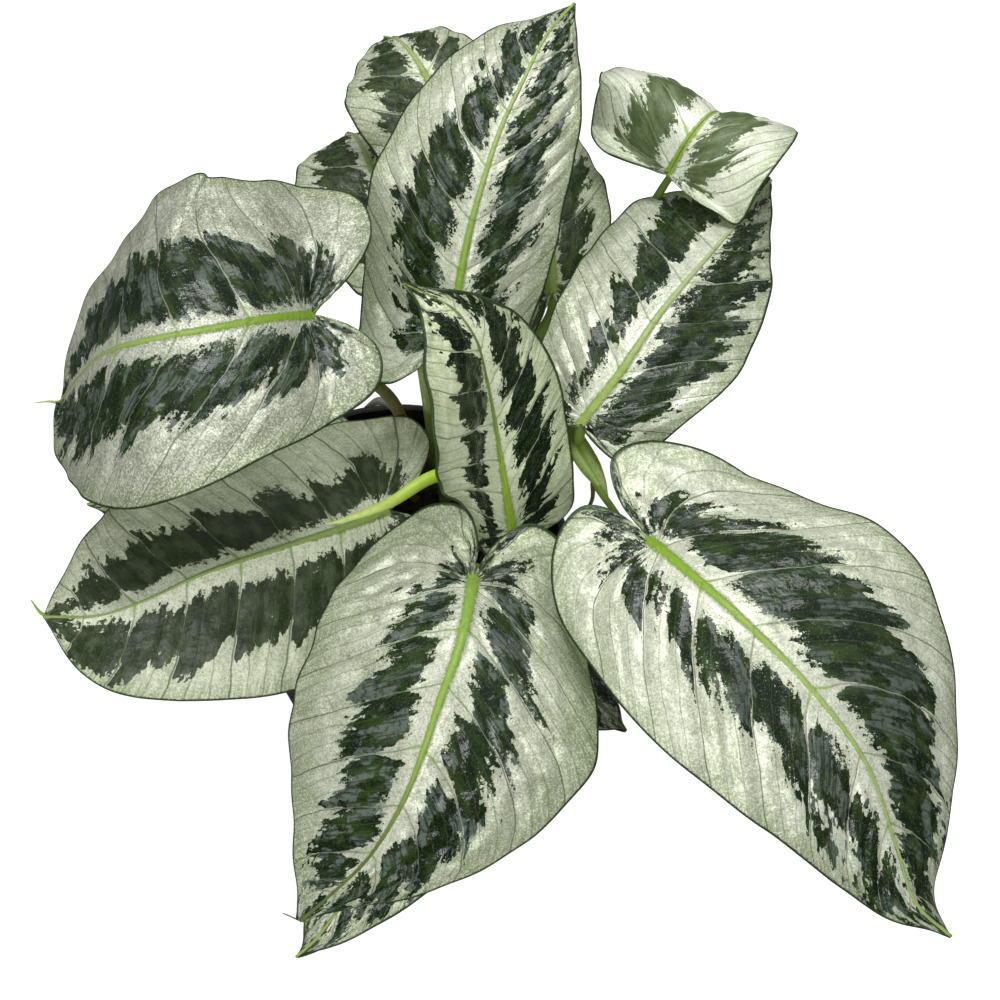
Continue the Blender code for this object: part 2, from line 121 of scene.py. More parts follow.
class Shader:
    def __init__(self, name, **fixed):
        self.material = bpy.data.materials.new(name)
        self.material.use_nodes = True
        self.tree = self.material.node_tree
        self.main = self.tree.nodes["Principled BSDF"]
        for key, value in fixed.items():
            self.main.inputs[key.replace("_", " ")].default_value = value

    def node(self, kind, inputs=(), output=0, **settings):
        made = self.tree.nodes.new("ShaderNode" + kind)
        for key, value in settings.items():
            setattr(made, key, value)
        for key, value in dict(inputs).items():
            self.feed(made.inputs[key], value)
        return made.outputs[output]

    def feed(self, socket, value):
        if isinstance(value, bpy.types.NodeSocket):
            self.tree.links.new(value, socket)
        else:
            socket.default_value = value

    def math(self, operation, a, b=0.0):
        return self.node("Math", {0: a, 1: b}, operation=operation)

    def add(self, *values):
        total = values[0]
        for value in values[1:]:
            total = self.math("ADD", total, value)
        return total

    def times(self, *values):
        product = values[0]
        for value in values[1:]:
            product = self.math("MULTIPLY", product, value)
        return product

    def ramp(self, value, low, high, out=(0.0, 1.0)):
        inputs = {"Value": value, "From Min": low, "From Max": high, "To Min": out[0], "To Max": out[1]}
        return self.node("MapRange", inputs, interpolation_type="SMOOTHSTEP")

    def below(self, value, low, high):
        # 1 up to the low value, 0 from the high one
        return self.math("SUBTRACT", 1.0, self.ramp(value, low, high))

    def about(self, value, size):
        # noise from 0 to 1, as a swing of the given size about 0
        return self.times(self.math("SUBTRACT", value, 0.5), size)

    def mix(self, share, a, b, blend="MIX"):
        # sockets 6, 7 and output 2 are the colour ones
        return self.node("Mix", {0: share, 6: a, 7: b}, output=2, data_type="RGBA", blend_type=blend)

    def parts(self, vector):
        split = self.node("SeparateXYZ", {0: vector})
        return [split.node.outputs[i] for i in range(3)]

    def attribute(self, name):
        return self.parts(self.node("Attribute", output=1, attribute_name=name))

    def vector(self, x, y, z):
        return self.node("CombineXYZ", {0: x, 1: y, 2: z})

    def place(self):
        return self.node("TexCoord", output=3)

    def stretched(self, where, *scales):
        return self.node("VectorMath", {0: where, 1: scales}, operation="MULTIPLY")

    def noise(self, where, scale, detail=2.0, rough=0.5):
        return self.node("TexNoise", {"Vector": where, "Scale": scale, "Detail": detail, "Roughness": rough})

    def patches(self, where, scale, detail, low, high, strength=1.0):
        # noise cut to soft patches
        return self.times(self.ramp(self.noise(where, scale, detail), low, high), strength)

    def bump(self, height, strength, distance):
        return self.node("Bump", {"Height": height, "Strength": strength, "Distance": distance})

    def finish(self, **links):
        for key, value in links.items():
            self.feed(self.main.inputs[key.replace("_", " ")], value)
        return self.material


def rgb(red, green, blue):
    # display values from 0 to 255, as linear colour
    return tuple(((v / 255 + 0.055) / 1.055) ** 2.4 if v > 10 else v / 255 / 12.92
                 for v in (red, green, blue)) + (1.0,)


# Leaf finish: silver ground, a dark band each side of the midrib, and the veins

leafFinish = {
    "between": 3,               # fine veins for each main one
    "pleatShades": 4,                # painted shade stripes on the pleats, for each main one
    "silver": rgb(196, 201, 179),
    "silverLight": rgb(214, 218, 200),
    "silverBright": rgb(230, 233, 218),
    "silverShade": rgb(150, 160, 126),
    "silverRim": rgb(122, 140, 92),
    "dark": rgb(14, 30, 6),
    "darkShade": rgb(42, 62, 22),
    # painted gloss: the grey that stands in for highlights on the dark band
    "darkGloss": rgb(108, 120, 112),
    "fineVein": rgb(84, 96, 66),
    "sideVein": rgb(156, 168, 142),
    "veinFoot": rgb(150, 178, 88),
    "ribEdge": rgb(92, 116, 44),
    "ribFleck": rgb(118, 140, 68),
    "margin": rgb(44, 62, 28),
    "toothLength": 7.0,         # of the band's outer teeth, in mm
    "wedge": 4.0,               # silver along the side veins, in mm
    "ragged": 0.85,             # roughness of the band's edges
    "glossy": 0.50,             # share of painted grey gloss in the dark band
    "greening": 10.0,           # width of the greener margin, in mm
    "ribTurn": (0.05, 0.5),     # where the midrib changes from its base tone to its tip tone
}


def leafTopMaterial(name, ribBase, ribTip, shade=1.0, dullness=(0.42, 0.17), metal=0.25, **changes):
    values = dict(leafFinish, **changes)
    s = Shader(name, IOR=1.42)
    count, reach, seed = s.attribute("veins")
    bandIn, bandOut, edge = s.attribute("bands")
    ribShare, along, spacing = s.attribute("ribs")
    out = s.math("ABSOLUTE", reach)
    place = s.place()

    def streaks(across, onward, detail, lane):
        # noise drawn out along the side veins, each time in a lane of its own
        where = s.vector(s.times(count, across), s.times(reach, onward), s.add(seed, lane))
        return s.noise(where, 1.0, detail, 0.62)

    def layer(ground, tone, *shares):
        return s.mix(s.times(*shares), ground, values[tone])

    grain = s.noise(place, 1500.0, 1.0, 0.8)
    stipple = s.noise(place, 520.0, 2.0, 0.7)
    satin = streaks(16.0, 3.0, 2.0, 37.0)

    # side veins, every second one weak
    line = s.add(count, s.about(streaks(0.7, 2.4, 2.0, 7.0), 0.24))
    toLateral = s.times(s.math("PINGPONG", line, 0.5), spacing)
    weak = s.math("GREATER_THAN", s.math("FRACT", s.times(s.add(line, 0.5), 0.5)), 0.5)

    def lessWhereWeak(full, loss):
        return s.math("SUBTRACT", full, s.times(weak, loss))

    lateralHalf = s.times(s.ramp(out, 0.0, 0.7, (0.80, 0.24)), lessWhereWeak(1.0, 0.45))
    lateralShare = s.math("DIVIDE", toLateral, lateralHalf)
    lateral = s.below(lateralShare, 0.4, 1.1)
    toFine = s.times(s.math("PINGPONG", s.times(line, float(values["between"])), 0.5), spacing)
    fine = s.below(s.times(toFine, 1.0 / values["between"]), 0.08, 0.32)
    # painted shade: soft darker stripes where the pleats' creases would fall in shadow
    pleatShade = s.ramp(s.math("SINE", s.times(line, math.tau * values["pleatShades"])), -1.0, 1.0)
    pleatShade = s.times(pleatShade, s.ramp(streaks(1.7, 1.5, 2.0, 3.0), 0.40, 0.62))

    # the band's edges: teeth at the side veins, feathered by streaks, and crumbling in places
    wide = streaks(1.0, 1.4, 2.0, 11.0)
    toothed = streaks(2.8, 3.4, 3.0, 13.0)
    feather = streaks(9.0, 14.0, 3.0, 17.0)
    tooth = s.about(s.math("FRACT", s.add(line, 0.03)), values["toothLength"])
    points = s.times(s.math("PINGPONG", s.add(s.times(line, 5.0), s.about(toothed, 4.0)), 0.5), 5.0)
    wedge = s.times(s.ramp(toLateral, 0.2, 3.6, (-values["wedge"], 1.0)), lessWhereWeak(1.0, 0.5))
    loose = s.ramp(s.noise(place, 42.0, 2.0), 0.42, 0.60, (0.25, 1.0))
    loose = s.times(loose, s.ramp(along, 0.3, 0.85, (1.0, 0.35)), values["ragged"])
    crumble = s.times(s.add(s.about(stipple, 16.0), s.about(grain, 12.0)), loose)
    rough = s.add(s.about(wide, 24.0), s.about(toothed, 34.0), s.about(feather, 14.0))
    edgeOut = s.add(bandOut, tooth, points, s.times(rough, values["ragged"]), crumble)
    edgeIn = s.add(bandIn, wedge, s.about(toothed, 9.0), s.about(feather, 12.0), crumble)
    inside = s.math("MINIMUM", edgeOut, edgeIn)
    inside = s.math("SUBTRACT", inside, s.times(lateral, s.ramp(inside, 0.0, 12.0, (4.0, 1.0))))
    band = s.ramp(inside, -0.2, 0.4)

    # silver ground
    blot = s.noise(place, 90.0, 2.0, 0.6)
    silver = s.mix(s.ramp(streaks(1.3, 2.2, 2.0, 31.0), 0.40, 0.62), values["silver"], values["silverLight"])
    silver = layer(silver, "silverShade", s.ramp(blot, 0.46, 0.66), 0.45)
    silver = layer(silver, "silverLight", s.below(bandIn, -1.5, 1.5), 0.40)
    silver = layer(silver, "silverShade", pleatShade, s.ramp(out, 0.15, 0.5), 0.34)
    silver = layer(silver, "silverShade", s.ramp(satin, 0.48, 0.70), 0.34)
    silver = layer(silver, "silverBright", s.ramp(stipple, 0.53, 0.66), 0.40)
    silver = layer(silver, "silverShade", s.ramp(stipple, 0.46, 0.34), 0.40)
    nearEdge = s.ramp(edge, values["greening"], 0.5)
    silver = layer(silver, "silverRim", nearEdge, s.ramp(satin, 0.35, 0.6, (0.35, 0.80)))
    silver = layer(silver, "silverBright", s.ramp(grain, 0.52, 0.62), 0.50)
    silver = layer(silver, "silverShade", s.ramp(grain, 0.48, 0.36), 0.50)
    silver = layer(silver, "fineVein", fine, s.ramp(out, 0.12, 0.5), 0.42)
    silver = layer(silver, "fineVein", s.below(toLateral, 0.1, 0.4), 0.55)

    # dark band, with painted grey gloss patches and painted glint specks that stand in for its highlights
    depth = streaks(4.5, 5.0, 3.0, 41.0)
    patch = s.times(s.ramp(streaks(2.6, 5.0, 3.0, 43.0), 0.51, 0.56), s.ramp(satin, 0.42, 0.52, (0.2, 1.0)))
    dark = s.mix(s.ramp(depth, 0.42, 0.68), values["dark"], values["darkShade"])
    dark = layer(dark, "darkGloss", patch, s.ramp(stipple, 0.38, 0.50, (0.35, 1.0)), values["glossy"])
    # painted glints: small grey-white specks standing in for sparkle on the dark band
    dark = layer(dark, "darkGloss", s.ramp(grain, 0.56, 0.75), 0.35)
    dark = layer(dark, "fineVein", fine, 0.22)

    # both, with the pale side veins
    colour = s.mix(band, silver, dark)
    core = s.times(s.below(lateralShare, 0.15, 0.75), s.ramp(out, 1.0, 0.3, (0.15, 0.62)))
    colour = layer(colour, "sideVein", core, s.math("SUBTRACT", band, s.times(weak, 0.35)))
    colour = layer(colour, "veinFoot", lateral, s.ramp(out, 0.15, 0.04), lessWhereWeak(0.65, 0.45))

    # midrib and margin
    ribTone = s.mix(s.ramp(along, *values["ribTurn"]), ribBase, ribTip)
    ribTone = layer(ribTone, "ribEdge", s.ramp(ribShare, 0.25, 0.95), 0.75)
    ribTone = layer(ribTone, "ribFleck", s.patches(place, 700.0, 1.0, 0.45, 0.7), 0.25)
    onRib = s.below(s.add(ribShare, s.about(grain, 0.8), s.about(feather, 0.9)), 0.55, 1.25)
    colour = s.mix(onRib, colour, ribTone)
    colour = s.mix(s.below(s.add(edge, s.about(grain, 0.5)), 0.45, 1.1), colour, values["margin"])
    # painted shade: the whole colour darkened, for a leaf lying in shadow
    if shade < 1.0:
        colour = s.mix(1.0, colour, (shade, shade, shade, 1.0), "MULTIPLY")

    # height in mm, for the bumps
    swells = s.noise(place, 170.0, 2.0, 0.5)
    wrinkles = streaks(3.0, 26.0, 2.0, 47.0)
    raised = s.add(s.times(satin, 0.16), s.times(grain, 0.05), s.times(swells, 0.9), s.times(stipple, 0.30),
                   s.times(wrinkles, 0.16))
    height = s.math("SUBTRACT", raised, s.add(s.times(fine, 0.05), s.times(lateral, 0.10)))
    gloss = s.add(s.ramp(band, 0.0, 1.0, dullness), s.about(grain, 0.22))
    shine = s.times(s.math("SUBTRACT", 1.0, band), s.math("SUBTRACT", 1.0, onRib), metal)
    return s.finish(Base_Color=colour, Roughness=gloss, Metallic=shine, Normal=s.bump(height, 0.9, mm))


def leafUnderMaterial():
    s = Shader("leafUnderside", IOR=1.45)
    count, reach, seed = s.attribute("veins")
    line = s.below(s.math("PINGPONG", count, 0.5), 0.01, 0.06)
    cloud = s.noise(s.vector(s.times(count, 1.6), s.times(reach, 4.0), seed), 1.0, 3.0)
    grain = s.noise(s.place(), 1800.0, 2.0, 0.7)
    colour = s.mix(cloud, rgb(140, 158, 110), rgb(112, 134, 84))
    colour = s.mix(s.times(s.ramp(grain, 0.5, 0.75), 0.25), colour, rgb(96, 118, 72))
    colour = s.mix(s.times(line, 0.7), colour, rgb(158, 178, 112))
    normal = s.bump(s.add(s.times(grain, 0.2), line), 0.4, 0.0006)
    return s.finish(Base_Color=colour, Roughness=s.ramp(grain, 0.2, 0.8, (0.5, 0.68)), Normal=normal)


def stemMaterial(name, low, high, spread, freckle):
    # a stalk, pale at the soil and greener above, with fine lengthwise streaks
    s = Shader(name, IOR=1.45)
    place = s.place()
    z = s.parts(place)[2]
    streak = s.noise(s.stretched(place, 1500.0, 1500.0, 60.0), 1.0, 3.0, 0.6)
    blotch = s.noise(place, 120.0, 3.0, 0.6)
    colour = s.mix(s.ramp(z, spread[0], spread[1]), low, high)
    colour = s.mix(s.times(s.ramp(streak, 0.4, 0.75), 0.4), colour, freckle)
    colour = s.mix(s.times(s.ramp(blotch, 0.45, 0.7), 0.35), colour, freckle)
    normal = s.bump(streak, 0.3, 0.0006)
    return s.finish(Base_Color=colour, Roughness=s.ramp(blotch, 0.3, 0.7, (0.32, 0.48)), Normal=normal)


# Leaves

marginCurve = [(-0.002, 0.012), (-0.09, 0.20), (-0.150, 0.48), (-0.135, 0.78), (-0.03, 0.97), (0.14, 1.0),
               (0.33, 0.95), (0.52, 0.82), (0.70, 0.58), (0.85, 0.29), (0.94, 0.085), (1.0, 0.008)]
leafShape = {
    "steps": 160,               # along the rib
    "marginSteps": 240,         # round each half's margin
    "lobeShare": 0.30,          # share of the margin that belongs to the lobe behind the stalk
    "footStart": 0.035,
    "frameBlend": 0.6,          # how far the blade's lean follows its chord
    "thickness": 0.75,
    "waveHeight": 1.3, "waves": 3.3,
    "flutterHeight": 0.5, "flutters": 9.3,
    "pillow": 2.6, "pucker": 1.7, "dimpleSize": 6.5, "ripple": 0.10,
    "ribHalfWidth": 2.7, "ribTipWidth": 0.16, "ribTaper": 2.1, "ribHeight": 0.45, "ribGroove": 0.25,
    "veinCurve": (0.12, 0.09),
    "sideVeins": 10, "smallSideVeins": 7,
    "mesh": (52, 150), "smallMesh": (28, 84),   # columns in each half, and rows
}
bandPlaces = (0.0, 0.15, 0.30, 0.45, 0.60, 0.75, 0.88, 1.0)

# What a leaf has where its own entry says nothing else
plainLeaf = {
    "curl": (-15, -15), "blunt": 0.0, "lobes": (1.0, 1.0), "puff": 0.4,
    "tuck": (0, 0),             # how far the lobes close over the notch
    "heading": None,            # where the blade faces on the level, if its rib doesn't give that
    "small": False,             # coarser mesh and fewer side veins
    "hammered": 0.3,            # strength of the dimples
    "sweep": 0.85,              # how far the side veins lean forwards
    "ribScale": 1.0, "finish": "silver",
    "slim": (1.0, 1.0),         # the stalk's width at the soil and at the blade, as shares of its own
    "lean": 20,                 # how far the stalk's end leans towards the leaf's tip
    "heel": True,               # the stalk's last bend, below the blade
    "inner": ((.14, .14, .14, .14, .14, .14, .12, .1),) * 2,
    "outer": ((.45, .5, .56, .6, .62, .62, .6, .3),) * 2,
}

# Each leaf: its rib from the stalk to the tip, the half widths near the stalk, the middle and the tip,
# how steeply each half rises from the rib along it and how far it curls to its margin, in degrees, how
# blunt it is, the length of its lobes, and the inner and outer edges of its dark bands as shares of the
# half width. Where there are two values or rows, the first is for the half right of the rib, seen from
# the tip, and the second for the other.
leaves = {
    "left": {
        "rib": [(-26, 28, 232), (-40, 17, 246), (-62, 7, 254), (-83, 5, 250), (-98, 13, 230), (-111, 29, 192),
                (-127, 49, 140)],
        "widths": ((40, 61, 50), (63, 79, 70)), "rise": ((-11, -20, -21, -14, -5), (0, 4, 5, 10, 14)),
        "curl": (-10, -15), "blunt": 0.6, "lobes": (0.7, 0.8), "phase": 0.0,
        "inner": ((.12, .13, .13, .12, .13, .14, .14, .1), (.10, .10, .09, .08, .08, .10, .12, .1)),
        "outer": ((.38, .44, .50, .52, .58, .68, .78, .5), (.38, .44, .50, .54, .54, .55, .50, .3)),
        "stalk": [(4, 46, 104), (1, 51, 128), (-5, 49, 150), (-19, 46, 171), (-29, 40, 194)], "thick": 3.0,
        "puff": 0.6, "slim": (0.9, 0.55), "finish": "paintedShadeSilver", "ribScale": 0.8, "sweep": 0.6,
    },
    "low_left": {
        "rib": [(-2, -1, 146), (-17, -12, 153), (-35, -21, 157), (-67, -34, 158), (-89, -42, 152),
                (-105, -44, 145), (-128, -37, 130)],
        "widths": ((44, 54, 48), (57, 56, 84)),
        "rise": ((-25, -28, -28, -25, -15), (-15, -20, -20, -18, -10)),
        "curl": (-10, -10), "blunt": 0.5, "lobes": (1.0, 1.3), "phase": 0.4, "ribScale": 0.72,
        "finish": "matt", "sweep": 0.3,
        "inner": ((.16, .17, .17, .17, .17, .17, .15, .1), (.2, .18, .15, .12, .10, .12, .14, .1)),
        "outer": ((.42, .50, .52, .56, .60, .66, .8, .5), (.40, .44, .50, .50, .54, .56, .55, .4)),
        "stalk": [(3, 3, 104), (4, 4, 122)], "thick": 2.8,
    },
    "front": {
        "rib": [(30, -57, 198), (26, -86, 207), (19, -107, 203), (8, -130, 181), (-5, -142, 156),
                (-20, -148, 134), (-31, -150, 116)],
        "widths": ((42, 66, 40), (47, 70, 92)),
        "rise": ((-20, -24, -24, -25, -25), (-15, -15, -15, -20, -20)),
        "curl": (-20, -20), "blunt": 0.1, "lobes": (1.0, 0.9), "tuck": (0.2, 0.2), "phase": 0.7,
        "hammered": 0.6, "finish": "olive", "slim": (1.0, 0.5),
        "inner": ((.12, .13, .16, .14, .15, .16, .2, .1), (.12, .12, .11, .14, .12, .08, .04, .02)),
        "outer": ((.3, .38, .44, .42, .50, .80, .9, .4), (.26, .27, .30, .40, .44, .44, .48, .3)),
        "stalk": [(22, -6, 104), (28, -12, 122), (31, -25, 144), (31, -42, 172)], "thick": 3.0, "puff": 0.8,
    },
    "front_under": {
        "rib": [(16, -54, 126), (12, -79, 130), (0, -113, 120), (-16, -134, 100), (-27, -144, 85),
                (-35, -147, 74)],
        "widths": ((34, 34, 34), (34, 34, 34)), "rise": ((-8, -10, -15), (-8, -10, -15)),
        "curl": (-10, -10), "lobes": (0.2, 0.2), "phase": 0.1, "small": True,
        "stalk": [(11, -14, 104), (12, -24, 114)], "thick": 2.4,
    },
    "front_right": {
        "rib": [(90, -48, 208), (105, -69, 218), (119, -86, 222), (140, -107, 216), (160, -127, 198),
                (172, -146, 172), (180, -158, 152), (194, -163, 134)],
        "widths": ((50, 75, 66), (42, 54, 50)), "rise": ((-8, -4, -5, -10, -20), (-10, -12, -15, -20, -20)),
        "lobes": (1.1, 0.8), "tuck": (0.25, 0.25), "phase": 0.5, "hammered": 0.5,
        "inner": ((.16, .16, .16, .14, .11, .13, .11, .1), (.16, .16, .18, .15, .12, .20, .20, .1)),
        "outer": ((.34, .38, .46, .61, .66, .66, .70, .3), (.38, .40, .36, .43, .50, .60, .74, .4)),
        "stalk": [(40, 15, 104), (47, 20, 124), (60, 24, 150), (66, 18, 166), (69, 6, 174), (73, -12, 184),
                  (78, -28, 195)],
        "thick": 3.2, "lean": 50, "puff": 0.7, "slim": (1.0, 0.34), "ribScale": 0.85,
    },
    "right": {
        "rib": [(67, 4, 198), (80, 16, 210), (95, 38, 216), (116, 71, 209), (130, 97, 196), (142, 126, 176)],
        "widths": ((30, 44, 76), (23, 40, 24)), "rise": ((-12, -12, -12), (-15, -15, -15)),
        "lobes": (0.25, 0.1), "phase": 0.9, "finish": "calm", "sweep": 0.25,
        "inner": ((.2, .22, .24, .20, .17, .25, .2, .1), (.12, .12, .12, .14, .15, .12, .12, .1)),
        "outer": ((.35, .38, .40, .40, .55, .80, .6, .3), (.5, .6, .66, .72, .69, .55, .4, .3)),
        "stalk": [(39, 5, 104), (47, 5, 130), (58, 4, 162)], "thick": 2.8, "puff": 0.5, "ribScale": 0.68,
    },
    "far_right": {
        "rib": [(101, 108, 204), (109, 114, 220), (117, 124, 220), (128, 142, 182), (135, 153, 144)],
        "widths": ((38, 52, 22), (35, 33, 8)), "rise": ((13, 20, 16), (18, 32, 26)), "heading": 59,
        "curl": (-40, -40), "blunt": 0.3, "lobes": (0.45, 0.2), "phase": 0.2,
        "inner": ((.15, .15, .18, .2, .2, .2, .2, .1), (.25, .25, .18, .12, .12, .12, .12, .1)),
        "outer": ((.46, .50, .56, .58, .60, .6, .5, .3), (.40, .44, .50, .54, .5, .4, .3, .2)),
        "stalk": [(37, 26, 104), (50, 38, 132), (70, 62, 158), (89, 98, 178), (98, 108, 192)], "thick": 2.8,
        "heel": False, "finish": "distant", "ribScale": 0.75, "slim": (1.0, 0.7),
    },
    "back": {
        "rib": [(22, 43, 200), (26, 58, 222), (31, 72, 238), (39, 94, 250), (47, 111, 256), (56, 134, 254),
                (66, 156, 244)],
        "widths": ((42, 50, 54), (28, 36, 34)), "rise": ((-15, -15, -20), (-25, -25, -25)),
        "blunt": 0.15, "lobes": (1.2, 1.0), "phase": 0.6,
        "inner": ((.2, .2, .2, .16, .13, .05, .04, .04), (.2, .2, .2, .16, .14, .15, .22, .1)),
        "outer": ((.5, .5, .52, .64, .55, .40, .50, .3), (.4, .4, .44, .58, .58, .52, .62, .4)),
        "stalk": [(18, 28, 104), (17, 30, 130), (18, 34, 170)], "thick": 2.8, "puff": 0.6, "ribScale": 0.65,
    },
    "centre": {
        "rib": [(43, -19, 160), (40, -13, 186), (37, -7, 214), (34, -3, 240), (30, 0, 262), (22, 3, 275),
                (7, 7, 282)],
        "widths": ((14, 34, 88), (25, 29, 35)), "rise": ((8, 12, 15), (25, 25, 22)),
        "curl": (12, 15), "lobes": (0.45, 0.3), "phase": 1.0, "finish": "fresh", "ribScale": 1.15,
        "inner": ((.3, .3, .34, .32, .12, .05, .12, .1), (.2, .2, .22, .25, .21, .25, .44, .2)),
        "outer": ((.55, .62, .68, .62, .42, .46, .52, .4), (.52, .56, .60, .70, .6, .72, .8, .5)),
        "stalk": [(30, 6, 104), (32, 2, 124)], "thick": 2.6, "sweep": 0.5,
    },
    "back_left": {
        "rib": [(22, 123, 190), (17, 137, 206), (9, 153, 212), (2, 169, 205), (-6, 192, 180)],
        "widths": ((24, 36, 42), (22, 28, 36)), "rise": ((-20, -20, -20), (6, 2, -8)),
        "phase": 0.3, "small": True, "finish": "plain",
        "stalk": [(24, 38, 104), (24, 50, 130), (24, 90, 164)], "thick": 2.6,
    },
    "far_left": {
        "rib": [(0, 105, 160), (-5, 119, 174), (-11, 134, 178), (-17, 153, 168), (-22, 171, 145)],
        "widths": ((24, 36, 44), (30, 30, 30)), "rise": ((-15, -15, -15), (-20, -20, -20)),
        "phase": 0.7, "small": True, "finish": "plain",
        "stalk": [(14, 44, 104), (12, 54, 124), (6, 82, 142)], "thick": 2.4,
    },
    "back_right": {
        "rib": [(58, 69, 185), (57, 85, 195), (55, 110, 198), (53, 139, 190), (51, 172, 172)],
        "widths": ((26, 28, 28), (26, 29, 33)), "rise": ((-33, -33, -26), (-20, -20, -20)),
        "phase": 0.1, "small": True, "finish": "plain",
        "stalk": [(31, 33, 104), (36, 44, 130), (48, 58, 158)], "thick": 2.8,
    },
    "hidden_left": {
        "rib": [(-25, 28, 128), (-51, 19, 134), (-77, 16, 132), (-100, 17, 124), (-118, 21, 112)],
        "widths": ((34, 34, 34), (34, 34, 34)), "rise": ((-15, -15, -15), (-15, -15, -15)),
        "lobes": (0.7, 0.7), "phase": 0.4, "small": True,
        "stalk": [(-6, 28, 104), (-10, 30, 112)], "thick": 2.2,
    },
    "hidden_front": {
        "rib": [(39, -41, 150), (53, -60, 156), (67, -74, 152), (77, -80, 140), (84, -82, 128)],
        "widths": ((26, 26, 26), (26, 26, 26)), "rise": ((-15, -15, -15), (-15, -15, -15)),
        "lobes": (0.7, 0.7), "phase": 0.8, "small": True, "finish": "shaded",
        "stalk": [(31, -14, 104), (37, -24, 124)], "thick": 2.2,
    },
}
leaves = {leafName: dict(plainLeaf, **own) for leafName, own in leaves.items()}


def smoothCurve(points, count):
    # centripetal curve through the points, at even steps, and its length
    points = np.asarray(points, float)
    ends = np.vstack([2 * points[0] - points[1], points, 2 * points[-1] - points[-2]])
    runs = []
    for i in range(1, len(ends) - 2):
        four = ends[i - 1:i + 3]
        knots = [0.0]
        for j in range(3):
            knots.append(knots[-1] + max(np.linalg.norm(four[j + 1] - four[j]), 1e-9) ** 0.5)
        t = np.linspace(knots[1], knots[2], 24, endpoint=False)[:, None]

        def between(first, last, low, high):
            return ((knots[high] - t) * first + (t - knots[low]) * last) / (knots[high] - knots[low])

        once = [between(four[j], four[j + 1], j, j + 1) for j in range(3)]
        twice = [between(once[j], once[j + 1], j, j + 2) for j in range(2)]
        runs.append(between(twice[0], twice[1], 1, 2))
    curve = np.vstack(runs + [points[-1:]])
    reach = np.r_[0, np.cumsum(np.linalg.norm(np.diff(curve, axis=0), axis=1))]
    even = np.linspace(0, reach[-1], count)
    return np.stack([np.interp(even, reach, curve[:, j]) for j in range(curve.shape[1])], 1), reach[-1]


def unit(rows):
    return rows / np.linalg.norm(rows, axis=-1, keepdims=True)


def readRows(table, ticks, at):
    return np.stack([np.interp(at, ticks, table[:, k]) for k in range(table.shape[1])], -1)


def smoothStep(low, high, value):
    t = np.clip((value - low) / (high - low), 0, 1)
    return t * t * (3 - 2 * t)


def softened(values, width):
    # values smoothed by a bell of the given width
    bell = np.hanning(width)
    return np.convolve(values, bell / bell.sum(), "same")


def softenedRib(rib, step, margin=40, width=71):
    # the rib with its bends softened, for the blade away from it
    ahead = np.linspace(1, margin, margin)[:, None] * step
    before = rib[0] - ahead[::-1] * unit(rib[1] - rib[0])
    after = rib[-1] + ahead * unit(rib[-1] - rib[-2])
    longRib = np.vstack([before, rib, after])
    return np.stack([softened(longRib[:, k], width)[margin:-margin] for k in range(3)], 1)


def riseCurve(values, steps, margin=32, width=41):
    # the rise of a half along the rib, in radians, from its few values
    extra = margin / steps
    shares = np.linspace(-extra, 1 + extra, steps + 1 + 2 * margin)
    wide = np.interp(shares, np.linspace(0, 1, len(values)), values)
    return np.radians(softened(wide, width)[margin:-margin])


def marginLine(leaf, side, length):
    # the margin of a half on the flat: along the rib and out from it
    outline = []
    for share, width in marginCurve:
        lobe = leaf["lobes"][side] if share < 0 else 1.0
        tucked = leaf["tuck"][side] * min(share, 0) / 0.15
        full = width ** (1 - leaf["blunt"]) if 0.2 < share < 0.97 else width
        halfWidth = np.interp(share, (0, 0.4, 0.8), leaf["widths"][side])
        outline.append((share * lobe * length, (full + tucked) * halfWidth))
    return smoothCurve(outline, leafShape["marginSteps"] + 1)[0]


def shapeLeaf(leaf):
    steps = leafShape["steps"]
    rib, length = smoothCurve(leaf["rib"], steps + 1)
    chord = rib[-1] - rib[0]
    level = np.array([chord[1], -chord[0], 0.0])
    if leaf["heading"] is not None:
        turn = math.radians(leaf["heading"])
        level = np.array([math.sin(turn), -math.cos(turn), 0.0])
    blend = leafShape["frameBlend"]
    tangent = unit(unit(np.gradient(rib, axis=0)) * (1 - blend) + unit(chord) * blend)
    across = unit(level - (tangent @ level)[:, None] * tangent)
    form = dict(leaf, ribLine=rib, length=length, ticks=np.linspace(0, length, steps + 1))
    form.update(tangent=tangent, across=across, up=np.cross(across, tangent))
    form["softRib"] = softenedRib(rib, length / steps)
    form["rises"] = [riseCurve(leaf["rise"][side], steps) for side in (0, 1)]
    form["margins"] = [marginLine(leaf, side, length) for side in (0, 1)]
    form["laterals"] = leafShape["smallSideVeins" if leaf["small"] else "sideVeins"]
    return form


def flatPlace(form, side, u, r):
    # along and out from the rib, in mm, for margin share u and reach r
    shape = leafShape
    inLobe = np.minimum(u / shape["lobeShare"], 1)
    pastLobe = np.clip((u - shape["lobeShare"]) / (1 - shape["lobeShare"]), 0, 1)
    foot = (shape["footStart"] * inLobe + (1 - shape["footStart"]) * pastLobe ** 1.08) * form["length"]
    edge = readRows(form["margins"][side], np.linspace(0, 1, shape["marginSteps"] + 1), u)
    return foot + (edge[..., 0] - foot) * r, edge[..., 1] * r, edge[..., 1]


